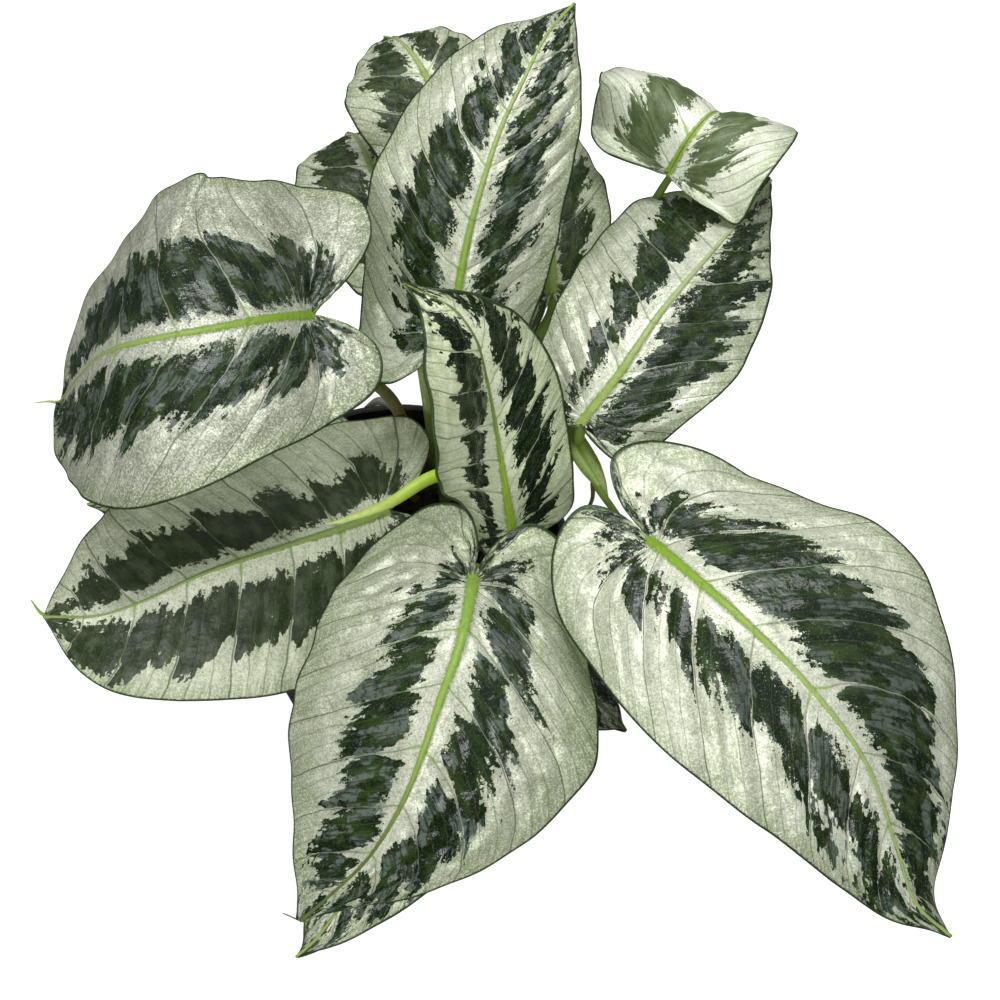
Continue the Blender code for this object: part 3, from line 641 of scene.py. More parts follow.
def liftPlace(form, side, along, out, raised=0.0):
    # flat place to the arched blade, and its normal there
    onRib = np.clip(along, 0, form["length"])
    onLine, onSoftLine, across, up = [readRows(form[k], form["ticks"], onRib)
                                      for k in ("ribLine", "softRib", "across", "up")]
    rise = np.interp(onRib, form["ticks"], form["rises"][side])
    curl = math.radians(form["curl"][side])
    wide = max(form["widths"][side])
    soft = np.clip(out / (0.75 * wide), 0, 1)[..., None] ** 2
    behind = np.minimum(along, 0.0)[..., None] * form["tangent"][0]
    centre = onLine + behind + (onSoftLine - onLine) * soft
    angle = rise + curl * out / wide
    hand = 1.0 if side else -1.0
    level = wide / curl * (np.sin(angle) - np.sin(rise))
    climb = -wide / curl * (np.cos(angle) - np.cos(rise))
    normal = up * np.cos(angle)[..., None] - hand * across * np.sin(angle)[..., None]
    lifted = hand * across * level[..., None] + up * climb[..., None]
    return centre + lifted + normal * np.asarray(raised)[..., None]


def veinPlace(form, u, r):
    # a whole number on each main side vein: these leave the rib forwards and curve to the tip
    bend = leafShape["veinCurve"]
    strength = form["sweep"] * smoothStep(0.05, 0.40, u) * (1 - 0.5 * smoothStep(0.7, 1.0, u))
    return (u - strength * (bend[0] * r + bend[1] * r * r)) * form["laterals"]


def ribHalfWidth(form, along):
    share = np.clip(along / form["length"], 0, 1)
    atStalk = leafShape["ribHalfWidth"] * form["ribScale"]
    return atStalk * (1 - share) ** leafShape["ribTaper"] + leafShape["ribTipWidth"]


def noiseRow(first, second, seed):
    return np.array([noise.noise(Vector((a, b, seed))) for a, b in zip(first, second)])


def leafRelief(form, side, u, r, along, out, seed):
    # pillows between the side veins, puckers, hammered dimples, and the midrib with a groove each side
    shape = leafShape
    count = veinPlace(form, u, r)
    window = smoothStep(0.03, 0.2, r) * (1 - smoothStep(0.72, 1.0, r)) * (1 - smoothStep(0.85, 1.0, u))
    betweenMain = np.abs(np.sin(math.pi * count)) ** 0.7
    betweenAll = np.abs(np.sin(math.tau * count)) ** 0.8
    pillow = 0.55 * betweenMain + 0.6 * betweenAll - 0.75
    lane = r + side * 3
    swell = 0.75 + 1.2 * noiseRow(count * 0.8, lane * 2.5, seed + 9)
    pucker = noiseRow(count * 3.1, lane * 9, seed)
    dimple = noiseRow(along / shape["dimpleSize"], (out + side * 200) / shape["dimpleSize"], seed + 21)
    ripple = noiseRow(count * 9, lane * 3, seed + 5)
    puffed = shape["pillow"] * pillow * swell + shape["pucker"] * pucker + form["hammered"] * dimple
    ribShare = out / ribHalfWidth(form, along)
    rib = shape["ribHeight"] * np.clip(1 - ribShare ** 2, 0, 1)
    rib = rib - shape["ribGroove"] * np.exp(-((ribShare - 1.5) / 0.5) ** 2)
    rib = rib * np.clip(along / form["length"] / 0.03, 0.3, 1)
    return (form["puff"] * puffed + shape["ripple"] * ripple) * window + rib


def buildLeaf(name, leaf, index, top, under):
    form = shapeLeaf(leaf)
    shape = leafShape
    half, rows = shape["smallMesh" if leaf["small"] else "mesh"]
    piece = newGrid(2 * half, rows)
    mesh = piece.data
    flat = readPoints(mesh)
    reach = np.abs(flat[:, 0]) ** 1.25
    share = (flat[:, 1] + 1) / 2
    places, veins, bands, ribs = [np.zeros_like(flat) for _ in range(4)]
    phase = leaf["phase"]
    for side in (0, 1):
        here = flat[:, 0] > 0 if side else flat[:, 0] <= 0
        hand = 1.0 if side else -1.0
        u, r = share[here], reach[here]
        same = np.ones_like(r)
        along, out, width = flatPlace(form, side, u, r)
        waveTurn = math.tau * (shape["waves"] * u + phase + 0.3 * side)
        flutterTurn = math.tau * (shape["flutters"] * u + 2.1 * phase + 0.4 * side)
        wave = shape["waveHeight"] * np.sin(waveTurn) * r ** 2
        flutter = shape["flutterHeight"] * np.sin(flutterTurn) * r ** 6 * smoothStep(0.05, 0.2, u)
        relief = leafRelief(form, side, u, r, along, out, index * 3.7)
        places[here] = liftPlace(form, side, along, out, wave + flutter + relief)
        # for the material: side veins, distances to the band's edges and the margin, and the midrib
        veins[here] = np.stack([veinPlace(form, u, r), hand * r, same * (index * 5.3 + side * 2.1)], 1)
        inner = np.interp(u, bandPlaces, leaf["inner"][side])
        outer = np.interp(u, bandPlaces, leaf["outer"][side])
        span = np.hypot(width, 4.0)
        bands[here] = np.stack([(r - inner) * span, (outer - r) * span, (1 - r) * span], 1)
        ribShare = out / ribHalfWidth(form, along) + np.clip(-along / 1.5, 0, 3)
        ribs[here] = np.stack([ribShare, along / form["length"], same * form["length"] / form["laterals"]], 1)
    movePoints(mesh, places * mm)
    addAttribute(mesh, "veins", veins)
    addAttribute(mesh, "bands", bands)
    addAttribute(mesh, "ribs", ribs)
    mesh.materials.append(top)
    mesh.materials.append(under)
    applyModifier(piece, "SOLIDIFY", thickness=shape["thickness"] * mm, offset=0.0, material_offset=1,
                  material_offset_rim=0)
    mesh.shade_smooth()
    finishPiece(piece, "leaf_" + name, ["blade_" + name])
    return form


leafTops = {
    "silver": leafTopMaterial("leafSilver", rgb(124, 162, 30), rgb(148, 174, 98)),
    # silver darkened as painted shade, for a leaf that curves away from the light
    "paintedShadeSilver": leafTopMaterial(
        "leafPaintedShadeSilver", rgb(118, 152, 34), rgb(140, 160, 84),
        silver=rgb(156, 160, 141), silverLight=rgb(186, 190, 172), silverShade=rgb(112, 120, 95)),
    "calm": leafTopMaterial(
        "leafCalm", rgb(142, 166, 80), rgb(168, 182, 132), wedge=2.0, glossy=0.30, ragged=0.75),
    "plain": leafTopMaterial(
        "leafPlain", rgb(140, 166, 84), rgb(150, 168, 104), dullness=(0.48, 0.30), metal=0.12,
        wedge=0.5, glossy=0.25, ragged=0.5, dark=rgb(32, 46, 16), darkShade=rgb(62, 78, 40),
        silver=rgb(186, 192, 166), silverLight=rgb(202, 208, 184)),
    # its own vivid rib and deep greens, with the silver lifted brighter as painted light for a blade that
    # faces the front lamp
    "fresh": leafTopMaterial(
        "leafFreshLit", rgb(172, 208, 8), rgb(136, 162, 70), metal=0.12,
        wedge=3.5, glossy=0.15, ragged=0.5, dark=rgb(6, 22, 2), darkShade=rgb(24, 46, 6),
        silver=rgb(234, 244, 202), silverLight=rgb(240, 247, 218), silverShade=rgb(172, 188, 130)),
    "olive": leafTopMaterial(
        "leafOlive", rgb(132, 166, 66), rgb(88, 104, 42), wedge=8.0, glossy=0.62, greening=24.0,
        ribTurn=(0.35, 0.75), silver=rgb(187, 192, 169), silverLight=rgb(207, 211, 192),
        silverShade=rgb(138, 148, 114)),
    "matt": leafTopMaterial(
        "leafMatt", rgb(136, 160, 84), rgb(140, 162, 92), dullness=(0.50, 0.42), metal=0.05,
        wedge=1.0, glossy=0.10, ragged=0.7, dark=rgb(36, 50, 20), darkShade=rgb(68, 80, 54),
        silver=rgb(204, 210, 184), silverLight=rgb(218, 224, 198), sideVein=rgb(110, 124, 92)),
    "distant": leafTopMaterial(
        "leafDistant", rgb(140, 172, 60), rgb(152, 168, 110), dullness=(0.50, 0.42), metal=0.15,
        wedge=1.0, glossy=0.15, ragged=0.6, dark=rgb(72, 90, 50), darkShade=rgb(104, 118, 80),
        darkGloss=rgb(128, 136, 112), silver=rgb(218, 223, 202), silverLight=rgb(232, 236, 220),
        silverShade=rgb(176, 186, 152)),
    "shaded": leafTopMaterial(
        "leafShaded", rgb(110, 130, 70), rgb(110, 130, 80), shade=0.42, dullness=(0.55, 0.45), metal=0.1),
}
leafUnder = leafUnderMaterial()
forms = {}
for number, (leafName, leafValues) in enumerate(leaves.items()):
    forms[leafName] = buildLeaf(leafName, leafValues, number, leafTops[leafValues["finish"]], leafUnder)
print("leaves made:", len(forms))


# Stalks

stalkShape = {
    "top": 0.72,        # radius at the blade, as a share of that at the soil
    "sole": 10.0,       # depth in the soil
    "heel": 11.0,       # where the last bend starts, below the blade
    "keelStart": 0.03,  # where on the rib the stalk starts to follow it from below
    "keelEnd": 0.42,    # and where it has run out
    "keelSteps": 9, "keelTaper": 0.8, "keelTip": 0.2,
    "groove": 0.16,     # depth down the upper side, as a share of the radius
    "sheath": 0.5,      # reach of the wings at the foot, as a share of the radius
    "steps": 90, "around": 18, "rows": 64,
}


def wrapTube(line, around, rows, profile):
    # a grid wrapped round a line of places and radii: profile(turn, share) scales the radius
    centres, radii = line[:, :3], line[:, 3]
    piece = newGrid(around, rows)
    mesh = piece.data
    flat = readPoints(mesh)
    turn = (flat[:, 0] + 1) / 2 * math.tau
    share = (flat[:, 1] + 1) / 2
    ticks = np.linspace(0, 1, len(centres))
    tangents = unit(np.gradient(centres, axis=0))
    side = np.array([1.0, 0.15, 0.0])
    sides = []
    for t in tangents:
        side = side - (side @ t) * t
        side = side / np.linalg.norm(side)
        sides.append(side)
    sides = np.array(sides)
    others = np.cross(tangents, sides)
    centre, one, two = [readRows(table, ticks, share) for table in (centres, sides, others)]
    radius = np.interp(share, ticks, radii) * profile(turn, share)
    points = centre + one * (radius * np.cos(turn))[:, None] + two * (radius * np.sin(turn))[:, None]
    movePoints(mesh, points * mm)
    startEdit(piece)
    bpy.ops.mesh.remove_doubles(threshold=0.00001)
    bpy.ops.mesh.normals_make_consistent(inside=False)
    pickOpenEdges()
    bpy.ops.mesh.edge_face_add()
    bpy.ops.object.mode_set(mode="OBJECT")
    mesh.shade_smooth()
    return piece


def stalkRoute(leaf, form):
    # up from the soil to the notch, then along under the midrib as its keel
    slim = leaf["slim"]
    topRadius = leaf["thick"] * stalkShape["top"]
    forward, up = form["tangent"][0], form["up"][0]
    lean = math.radians(leaf["lean"])
    into = up * math.cos(lean) + forward * math.sin(lean)
    seat = form["ribLine"][0] + forward * 1.0 - up * (topRadius * slim[1] + 0.5)
    foot = np.array(leaf["stalk"][0], float)
    knots = [foot - (0, 0, stalkShape["sole"]), foot + (0, 0, 5)]
    knots += [np.array(place, float) for place in leaf["stalk"][1:]]
    if leaf["heel"]:
        knots.append(seat - into * stalkShape["heel"])
    knots.append(seat)
    radii = [leaf["thick"]] * 2 + list(np.linspace(leaf["thick"], topRadius, len(knots) - 1))[1:]
    radii = [radius * share for radius, share in zip(radii, np.linspace(slim[0], slim[1], len(radii)))]
    ribWay = unit(np.gradient(form["ribLine"], axis=0))
    for share in np.linspace(stalkShape["keelStart"], stalkShape["keelEnd"], stalkShape["keelSteps"]):
        at = share * form["length"]
        onRib, upHere, way = [readRows(table, form["ticks"], np.array([at]))[0]
                              for table in (form["ribLine"], form["up"], ribWay)]
        upHere = unit(upHere - (upHere @ way) * way)
        left = (1 - share / stalkShape["keelEnd"]) ** stalkShape["keelTaper"]
        radius = topRadius * slim[1] * left * 0.9 + stalkShape["keelTip"]
        knots.append(onRib - upHere * (radius * 0.95 + 0.45))
        radii.append(radius)
    knots = np.array(knots)
    return smoothCurve(np.column_stack([knots, radii]), stalkShape["steps"])[0]


def stalkProfile(sheath):
    # a shallow groove down the upper side, and at the foot the sheath's two thin wings
    def profile(turn, share):
        fromTop = np.abs(turn - math.pi)
        groove = 1 - stalkShape["groove"] * np.exp(-(fromTop / 0.5) ** 2)
        wings = sheath * np.exp(-((fromTop - 0.85) / 0.22) ** 2)
        return groove + wings * smoothStep(0.0, 0.06, share) * (1 - smoothStep(0.18, 0.5, share))
    return profile


stemGreen = stemMaterial("stalkGreen", rgb(150, 160, 92), rgb(104, 126, 48), (0.104, 0.17), rgb(74, 94, 30))
stemBrown = stemMaterial("stalkBrown", rgb(112, 92, 56), rgb(84, 92, 40), (0.110, 0.165), rgb(54, 44, 28))
for leafName, leafValues in leaves.items():
    stalk = wrapTube(stalkRoute(leafValues, forms[leafName]), stalkShape["around"], stalkShape["rows"],
                     stalkProfile(stalkShape["sheath"]))
    stalk.data.materials.append(stemBrown if leafName == "left" else stemGreen)
    finishPiece(stalk, "stalk_" + leafName, ["petiole_" + leafName])
print("stalks made")


# Rolled new leaf

spike = {
    "route": [(27, 18, 94), (27, 18, 104), (29, 17, 118), (33, 13, 142), (28, 7, 160), (14, -2, 171),
              (-1, -13, 172), (-17, -17, 167), (-24, -16, 162)],
    "radii": [2.4, 2.4, 2.4, 2.4, 2.7, 2.5, 1.9, 0.9, 0.15],
    "winding": 0.35,            # turns of the rolled edge along the leaf
    "edge": 0.2,                # height of the edge, as a share of the radius
    "steps": 80, "around": 26, "rows": 90,
}


def spikeProfile(turn, share):
    # the rolled edge makes one step round the roll, and it winds slowly
    wind = (turn / math.tau + spike["winding"] * share) % 1.0
    step = smoothStep(0.0, 0.1, wind) * (1 - smoothStep(0.1, 1.0, wind))
    return 0.88 + spike["edge"] * step + 0.02 * np.sin(turn * 3)


def rolledLeafMaterial():
    # green at the foot, yellow-green in the bend and palest at the point
    s = Shader("rolledLeaf", IOR=1.45)
    place = s.place()
    x, _, z = s.parts(place)
    colour = s.mix(s.ramp(x, 0.02, -0.024), rgb(164, 196, 44), rgb(206, 222, 138))
    colour = s.mix(s.ramp(z, 0.135, 0.16), rgb(146, 168, 60), colour)
    colour = s.mix(s.patches(place, 420.0, 3.0, 0.45, 0.7, 0.3), colour, rgb(150, 176, 70))
    return s.finish(Base_Color=colour, Roughness=s.ramp(s.noise(place, 900.0), 0.3, 0.7, (0.34, 0.5)))


spikeLine = smoothCurve(np.column_stack([spike["route"], spike["radii"]]), spike["steps"])[0]
rolled = wrapTube(spikeLine, spike["around"], spike["rows"], spikeProfile)
rolled.data.materials.append(rolledLeafMaterial())
finishPiece(rolled, "rolled_leaf_piece", ["rolled_leaf"])
print("rolled leaf made")


# Small things on the plant: tip threads, the young sheath, a thin stem and a withered sheath

strands = {
    "tip_thread_left": {
        "route": [(-124, 47, 147), (-128, 50, 139), (-132, 51, 138), (-137, 51, 137)],
        "radii": [1.0, 1.0, 0.6, 0.25], "flat": 0.7, "tone": "pale",
    },
    "tip_thread_front": {
        "route": [(-29, -150, 120), (-31, -150, 116), (-27, -146, 116), (-29, -148, 110), (-38, -144, 108)],
        "radii": [0.5, 0.6, 0.5, 0.4, 0.2], "flat": 0.8, "tone": "dull",
    },
    "tip_low_left": {
        "route": [(-124, -38, 132), (-129, -35, 129), (-134, -27.7, 126)],
        "radii": [0.9, 0.7, 0.2], "flat": 0.8, "tone": "fresh",
    },
    "young_sheath": {
        "route": [(63, 12, 184), (67, 2, 186), (71, -6, 186), (74, -12, 186), (76, -19, 187.5),
                  (77.5, -25, 190)],
        "radii": [3.4, 4.2, 4.0, 2.6, 1.2, 0.3], "flat": 0.3, "tone": "sheath",
    },
    "thin_stem": {
        "route": [(72, -10, 181), (72, -13.5, 177), (70.5, -15.4, 172), (68.5, -17, 166), (66, -20, 160)],
        "radii": [0.9, 0.75, 0.65, 0.65, 0.6], "flat": 1.0, "tone": "brown",
    },
    "withered_sheath": {
        "route": [(-13, 60, 119), (-8, 61, 122), (-4, 59, 124), (-1, 56, 123), (0, 53, 119)],
        "radii": [0.6, 2.0, 2.8, 2.6, 0.8], "flat": 0.35, "tone": "withered",
    },
}
strandMesh = {"steps": 40, "around": 16, "rows": 36}
strandTones = {
    "pale": stemMaterial(
        "threadPale", rgb(176, 178, 130), rgb(150, 156, 104), (0.10, 0.17), rgb(120, 124, 80)),
    "dull": stemMaterial(
        "threadDull", rgb(96, 110, 60), rgb(110, 122, 70), (0.10, 0.17), rgb(70, 80, 46)),
    "fresh": stemMaterial(
        "tipFresh", rgb(126, 176, 52), rgb(112, 160, 48), (0.10, 0.17), rgb(96, 140, 44)),
    "sheath": stemMaterial(
        "sheathOlive", rgb(128, 142, 84), rgb(122, 142, 66), (0.16, 0.19), rgb(84, 104, 36)),
    "brown": stemBrown,
    "withered": stemMaterial(
        "witheredSheath", rgb(112, 110, 98), rgb(134, 134, 122), (0.115, 0.126), rgb(84, 82, 70)),
}


def flattened(flat):
    def profile(turn, share):
        return np.sqrt(np.cos(turn) ** 2 + (flat * np.sin(turn)) ** 2)
    return profile


for strandName, strand in strands.items():
    strandLine = smoothCurve(np.column_stack([strand["route"], strand["radii"]]), strandMesh["steps"])[0]
    tube = wrapTube(strandLine, strandMesh["around"], strandMesh["rows"], flattened(strand["flat"]))
    tube.data.materials.append(strandTones[strand["tone"]])
    finishPiece(tube, strandName)
print("small parts made")


# Pot

pot = {
    "height": 115, "baseRadius": 44, "topRadius": 63, "rimRadius": 65, "rimDepth": 9,
    "wall": 1.2, "floor": 2.2, "sides": 112, "ringStart": 12, "ringStep": 8, "innerRings": (80, 50, 20),
    "drains": 8, "drainRadius": 4.0, "drainRing": 30, "drillSides": 28, "drillDepth": 12,
    "footGroove": (5.0, 7.6, 0.5),      # its two heights, and its depth
    "bead": (12.0, 9.4, 0.35),          # below the rim: its two distances and its height
    "edgeStep": 0.6, "crease": 32,
}


def potProfile():
    # height and radius of each ring, from the foot up the outside, over the rim and down the inside
    p = pot
    shoulder = p["height"] - p["rimDepth"]
    top, rim, step = p["height"], p["rimRadius"], p["edgeStep"]

    def wallRadius(z):
        return p["baseRadius"] + (p["topRadius"] - 0.6 - p["baseRadius"]) * z / shoulder

    def ridge(low, high, height):
        # a step out (or in, with a negative height) between two heights
        return [(low, wallRadius(low)), (low + step, wallRadius(low + step) + height),
                (high - step, wallRadius(high - step) + height), (high, wallRadius(high))]

    grooveLow, grooveHigh, grooveDepth = p["footGroove"]
    beadLow, beadHigh, beadHeight = p["bead"]
    rings = [(0.6, p["baseRadius"] - 0.8), (2.0, wallRadius(2.0))]
    rings += ridge(grooveLow, grooveHigh, -grooveDepth)
    rings += [(z, wallRadius(z)) for z in range(p["ringStart"], int(shoulder - beadLow), p["ringStep"])]
    rings += ridge(shoulder - beadLow, shoulder - beadHigh, beadHeight)
    rings += [(shoulder - 0.6, wallRadius(shoulder)), (shoulder - 0.2, rim - 0.9),
              (shoulder + 0.1, rim - 0.35), (shoulder + 0.7, rim), (top - 2.4, rim), (top - 1.0, rim - 0.3),
              (top - 0.25, rim - 1.1), (top, rim - 2.1),
              (top - 0.4, p["topRadius"] - 1.0), (top - 1.6, p["topRadius"] - 1.6)]
    rings += [(z, wallRadius(z) - p["wall"]) for z in (shoulder, *p["innerRings"], p["floor"] + 1.5)]
    rings += [(p["floor"], wallRadius(p["floor"]) - p["wall"] - 1.5)]
    return rings


def buildPot():
    # the foot's disk, drawn up ring by ring, then closed by the floor and drilled
    p = pot
    height, radius = 0.0, p["baseRadius"] - 2.0
    deselectAll()
    bpy.ops.mesh.primitive_circle_add(vertices=p["sides"], radius=radius * mm, fill_type="NGON")
    piece = bpy.context.object
    startEdit(piece)
    for ringHeight, ringRadius in potProfile():
        grow = ringRadius / radius
        bpy.ops.mesh.extrude_region_move(TRANSFORM_OT_translate={"value": (0, 0, (ringHeight - height) * mm)})
        bpy.ops.transform.resize(value=(grow, grow, 1), center_override=(0, 0, 0))
        height, radius = ringHeight, ringRadius
    bpy.ops.mesh.inset(thickness=0.004)
    endEdit()
    for i in range(p["drains"]):
        turn = math.tau * i / p["drains"]
        x, y = p["drainRing"] * mm * math.cos(turn), p["drainRing"] * mm * math.sin(turn)
        deselectAll()
        bpy.ops.mesh.primitive_cylinder_add(vertices=p["drillSides"], radius=p["drainRadius"] * mm,
                                            depth=p["drillDepth"] * mm, location=(x, y, 0))
        drill = bpy.context.object
        applyModifier(piece, "BOOLEAN", operation="DIFFERENCE", object=drill)
        bpy.data.objects.remove(drill)
    pickOnly(piece)
    bpy.ops.object.shade_smooth_by_angle(angle=math.radians(p["crease"]))
    return piece


def potMaterial():
    s = Shader("potPlastic", IOR=1.5)
    place = s.place()
    z = s.parts(place)[2]
    dust = s.noise(place, 55.0, 5.0, 0.7)
    scuff = s.noise(s.stretched(place, 260.0, 260.0, 1400.0), 1.0, 3.0, 0.7)
    fineGrain = s.noise(place, 2600.0, 2.0)
    soilMark = s.times(s.ramp(dust, 0.5, 0.72), s.ramp(z, 0.07, 0.112, (0.1, 0.45)))
    colour = s.mix(soilMark, rgb(24, 25, 29), rgb(74, 68, 60))
    colour = s.mix(s.times(s.ramp(scuff, 0.58, 0.75), 0.3), colour, rgb(66, 68, 74))
    rough = s.add(s.ramp(dust, 0.3, 0.7, (0.3, 0.46)), s.times(fineGrain, 0.1))
    return s.finish(Base_Color=colour, Roughness=rough, Normal=s.bump(s.add(fineGrain, scuff), 0.12, 0.0004))


potPiece = buildPot()
potPiece.data.materials.append(potMaterial())
finishPiece(potPiece, "nursery_pot", ["pot"])
print("pot made")


# Soil and bark

soil = {
    "top": 104.0, "mound": 3.0, "moundRadius": 60, "sunk": 0.6, "radius": 59.4, "depth": 14.0, "columns": 150,
    "lump": 1.0, "lumpScale": 0.16, "grain": 0.35, "grainScale": 0.9,
    "seed": 11, "golden": math.radians(137.508),
}
chipSpread = {
    "count": 74, "sizes": (3.0, 8.5), "reach": 55.0, "clear": 7.5, "flatness": (0.25, 0.45), "lift": 0.05,
}
longChipPlace = {"size": (13, 5.5, 4), "turn": (0.1, 0.05, math.radians(-22)), "place": (6, 55.5, 107)}
crumbSpread = {
    "count": 420, "sizes": (0.8, 2.6), "reach": 57.0, "clear": 4.2, "flatness": (0.6, 1.0), "lift": 0.15,
}


def soilHeight(x, y):
    reach = math.hypot(x, y) / soil["moundRadius"]
    lumps = noise.fractal(Vector((x * soil["lumpScale"], y * soil["lumpScale"], 3.1)), 0.7, 2.2, 4)
    grains = noise.noise(Vector((x * soil["grainScale"], y * soil["grainScale"], 8.0)))
    mound = soil["top"] - soil["sunk"] + soil["mound"] * (1 - reach * reach)
    return mound + soil["lump"] * lumps + soil["grain"] * grains


def buildSoil():
    piece = newGrid(soil["columns"], soil["columns"])
    flat = readPoints(piece.data)
    points = []
    for a, b, _ in flat:
        x = soil["radius"] * a * math.sqrt(1 - b * b / 2)
        y = soil["radius"] * b * math.sqrt(1 - a * a / 2)
        points.append((x, y, soilHeight(x, y)))
    movePoints(piece.data, np.array(points) * mm)
    startEdit(piece)
    pickOpenEdges()
    bpy.ops.mesh.extrude_edges_move(TRANSFORM_OT_translate={"value": (0, 0, -soil["depth"] * mm)})
    bpy.ops.transform.resize(value=(0.94, 0.94, 1), center_override=(0, 0, 0))
    bpy.ops.mesh.edge_face_add()
    endEdit()
    piece.data.shade_smooth()
    return piece


def setTone(piece, tone):
    addAttribute(piece.data, "tone", np.full((len(piece.data.vertices), 3), tone))


def joinPieces(pieces):
    deselectAll()
    for piece in pieces:
        piece.select_set(True)
    bpy.context.view_layer.objects.active = pieces[0]
    bpy.ops.object.join()
    return bpy.context.object


def scatter(name, model, draw, count, sizes, reach, clear, flatness, lift):
    # copies of a model strewn on the soil by the golden angle, clear of the stalks, then joined
    stalkFeet = [leaf["stalk"][0] for leaf in leaves.values()] + [spike["route"][1]]
    copies = []
    for i in range(count):
        turn = i * soil["golden"] + draw.uniform(-0.5, 0.5)
        out = reach * math.sqrt((i + 0.5) / count)
        x, y = out * math.cos(turn), out * math.sin(turn)
        if min(math.hypot(x - foot[0], y - foot[1]) for foot in stalkFeet) < clear:
            continue
        copy = model.copy()
        copy.data = model.data.copy()
        bpy.context.scene.collection.objects.link(copy)
        size = draw.uniform(*sizes)
        copy.scale = (size * mm, size * draw.uniform(0.45, 0.8) * mm, size * draw.uniform(*flatness) * mm)
        copy.rotation_euler = (draw.uniform(-0.3, 0.3), draw.uniform(-0.3, 0.3), draw.uniform(0, math.tau))
        copy.location = (x * mm, y * mm, (soilHeight(x, y) + lift * size) * mm)
        setTone(copy, draw.random())
        copies.append(copy)
    bpy.data.objects.remove(model)
    joined = joinPieces(copies)
    joined.name = name
    return joined


def roughCube(levels, strength, seed):
    # a lump of bark: a cube, divided and pushed about
    deselectAll()
    bpy.ops.mesh.primitive_cube_add(size=1)
    lump = bpy.context.object
    startEdit(lump)
    bpy.ops.mesh.subdivide(number_cuts=levels)
    bpy.ops.mesh.vertices_smooth(factor=0.5)
    bpy.ops.object.mode_set(mode="OBJECT")
    points = readPoints(lump.data)
    for i, point in enumerate(points):
        push = noise.noise_vector(Vector(point * 2.3) + Vector((seed, 0, 0)))
        points[i] = point + np.array(push) * strength
    movePoints(lump.data, points)
    return lump


def barkMaterial(name, pale, deep):
    s = Shader(name, IOR=1.4)
    tone = s.attribute("tone")[0]
    place = s.place()
    fibre = s.noise(place, 700.0, 4.0, 0.7)
    colour = s.mix(tone, deep, pale)
    colour = s.mix(s.times(s.ramp(fibre, 0.45, 0.7), 0.6), colour, rgb(46, 32, 24))
    rough = s.ramp(fibre, 0.3, 0.7, (0.7, 0.9))
    return s.finish(Base_Color=colour, Roughness=rough, Normal=s.bump(fibre, 0.6, 0.001))


def soilMaterial():
    s = Shader("soilDark", IOR=1.4)
    place = s.place()
    grit = s.noise(place, 900.0, 4.0, 0.7)
    clump = s.noise(place, 160.0, 3.0, 0.6)
    colour = s.mix(s.ramp(clump, 0.35, 0.7), rgb(34, 26, 22), rgb(62, 46, 36))
    colour = s.mix(s.times(s.ramp(grit, 0.55, 0.72), 0.5), colour, rgb(96, 74, 54))
    rough = s.ramp(grit, 0.3, 0.7, (0.75, 0.95))
    return s.finish(Base_Color=colour, Roughness=rough, Normal=s.bump(grit, 0.8, 0.0012))


soilPiece = buildSoil()
soilPiece.data.materials.append(soilMaterial())
finishPiece(soilPiece, "soil_surface", ["soil"])
draw = random.Random(soil["seed"])
noise.seed_set(soil["seed"])
chips = scatter("bark_chips", roughCube(3, 0.28, 1.0), draw, **chipSpread)

# the long chip by the pot's far rim
longChip = roughCube(4, 0.25, 6.0)
longChip.scale = Vector(longChipPlace["size"]) * mm
longChip.rotation_euler = longChipPlace["turn"]
longChip.location = Vector(longChipPlace["place"]) * mm
setTone(longChip, 1.0)
chips = joinPieces([chips, longChip])
chips.data.materials.append(barkMaterial("barkChip", rgb(150, 112, 70), rgb(66, 46, 32)))
chips.data.shade_flat()
finishPiece(chips, "bark_chips")
crumbs = scatter("soil_crumbs", roughCube(1, 0.3, 2.0), draw, **crumbSpread)
crumbs.data.materials.append(barkMaterial("soilCrumb", rgb(92, 72, 52), rgb(34, 26, 22)))
finishPiece(crumbs, "soil_crumbs")
print("soil made")


# Camera, lights and floor

studio = {
    "elevation": 60.0, "aim": (0.039, 0.001, 0.150), "distance": 1.1, "lens": 108.0, "sensor": 36.0,
    "near": 0.05, "far": 50, "floorSize": 8.0, "floorDrop": 0.0005, "lampAim": (0.04, 0.0, 0.15),
    "skyBelow": 0.05, "skyAbove": 0.60, "skyStart": -0.3,
}
lamps = {
    "softbox": {"place": (0.15, 0.50, 1.5), "size": 1.0, "power": 14},
    "spark": {"place": (-0.35, 0.65, 1.3), "size": 0.22, "power": 2.6},
    "frontFill": {"place": (-0.5, -1.4, 1.0), "size": 0.9, "power": 15},
}


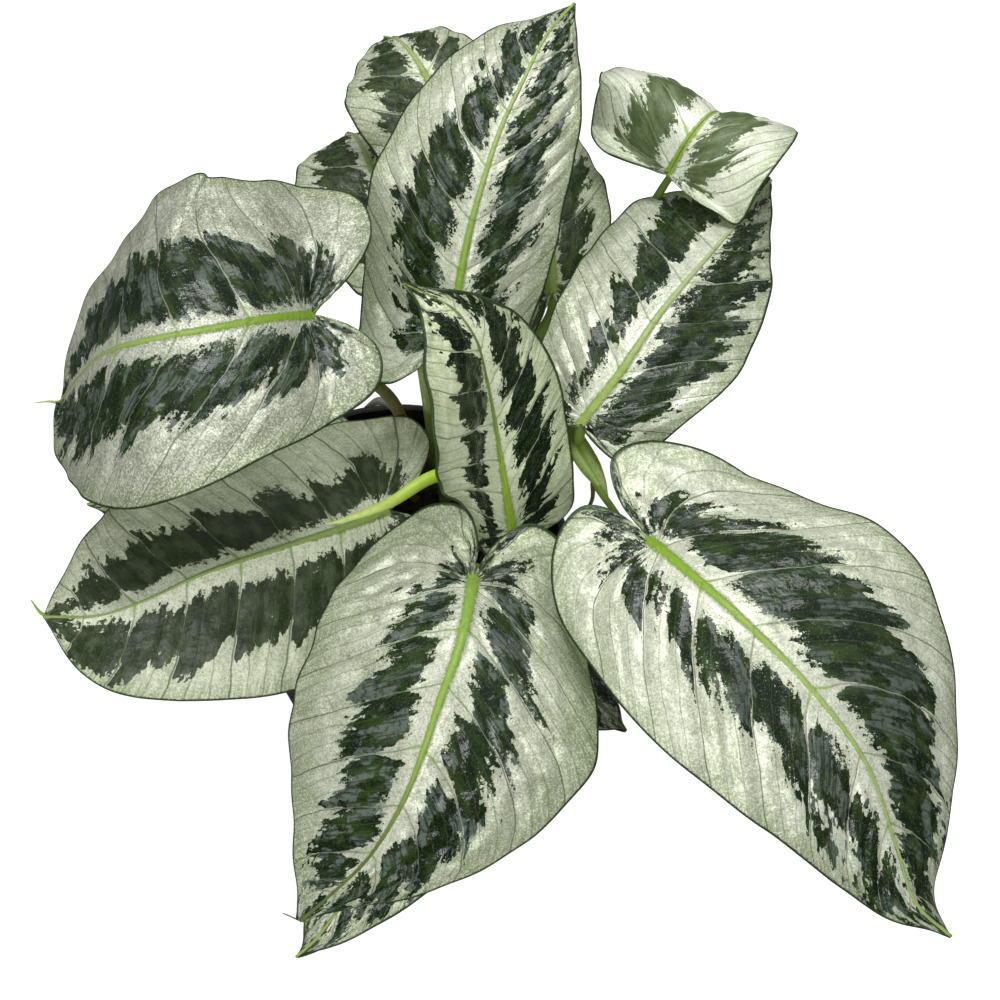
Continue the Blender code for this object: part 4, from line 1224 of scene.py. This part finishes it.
def addLamp(name, place, size, power):
    light = bpy.data.lights.new(name, "AREA")
    light.shape = "DISK"
    light.size = size
    light.energy = power
    lamp = bpy.data.objects.new(name, light)
    bpy.context.scene.collection.objects.link(lamp)
    lamp.location = place
    lamp.rotation_euler = (Vector(studio["lampAim"]) - Vector(place)).to_track_quat("-Z", "Y").to_euler()


def addFloor():
    deselectAll()
    bpy.ops.mesh.primitive_plane_add(size=studio["floorSize"], location=(0, 0, -studio["floorDrop"]))
    floor = bpy.context.object
    floor.name = "floor"
    s = Shader("floorPaper", Roughness=0.9, Emission_Color=(1.0, 1.0, 1.0, 1.0), Emission_Strength=0.8)
    floor.data.materials.append(s.finish(Base_Color=(0.4, 0.4, 0.4, 1.0)))
    floor.visible_glossy = False


def addCamera():
    data = bpy.data.cameras.new("camera")
    camera = bpy.data.objects.new("camera", data)
    bpy.context.scene.collection.objects.link(camera)
    tilt = math.radians(studio["elevation"])
    x, y, z = studio["aim"]
    camera.location = (x, y - studio["distance"] * math.cos(tilt), z + studio["distance"] * math.sin(tilt))
    camera.rotation_euler = (math.radians(90) - tilt, 0, 0)
    data.lens = studio["lens"]
    data.sensor_width = studio["sensor"]
    data.clip_start = studio["near"]
    data.clip_end = studio["far"]
    bpy.context.scene.camera = camera


def addSky():
    # a white sky, brightest overhead
    world = bpy.data.worlds.new("studioWorld")
    world.use_nodes = True
    sky = world.node_tree
    height = sky.nodes.new("ShaderNodeSeparateXYZ")
    climb = sky.nodes.new("ShaderNodeMapRange")
    climb.inputs["From Min"].default_value = studio["skyStart"]
    climb.inputs["To Min"].default_value = studio["skyBelow"]
    climb.inputs["To Max"].default_value = studio["skyAbove"]
    sky.links.new(sky.nodes.new("ShaderNodeTexCoord").outputs["Generated"], height.inputs[0])
    sky.links.new(height.outputs["Z"], climb.inputs["Value"])
    sky.links.new(climb.outputs[0], sky.nodes["Background"].inputs["Strength"])
    sky.nodes["Background"].inputs["Color"].default_value = (1.0, 1.0, 1.0, 1.0)
    bpy.context.scene.world = world


addFloor()
addCamera()
for lampName, lampValues in lamps.items():
    addLamp(lampName, **lampValues)
addSky()
bpy.context.scene.view_settings.view_transform = "Standard"
print("studio set")
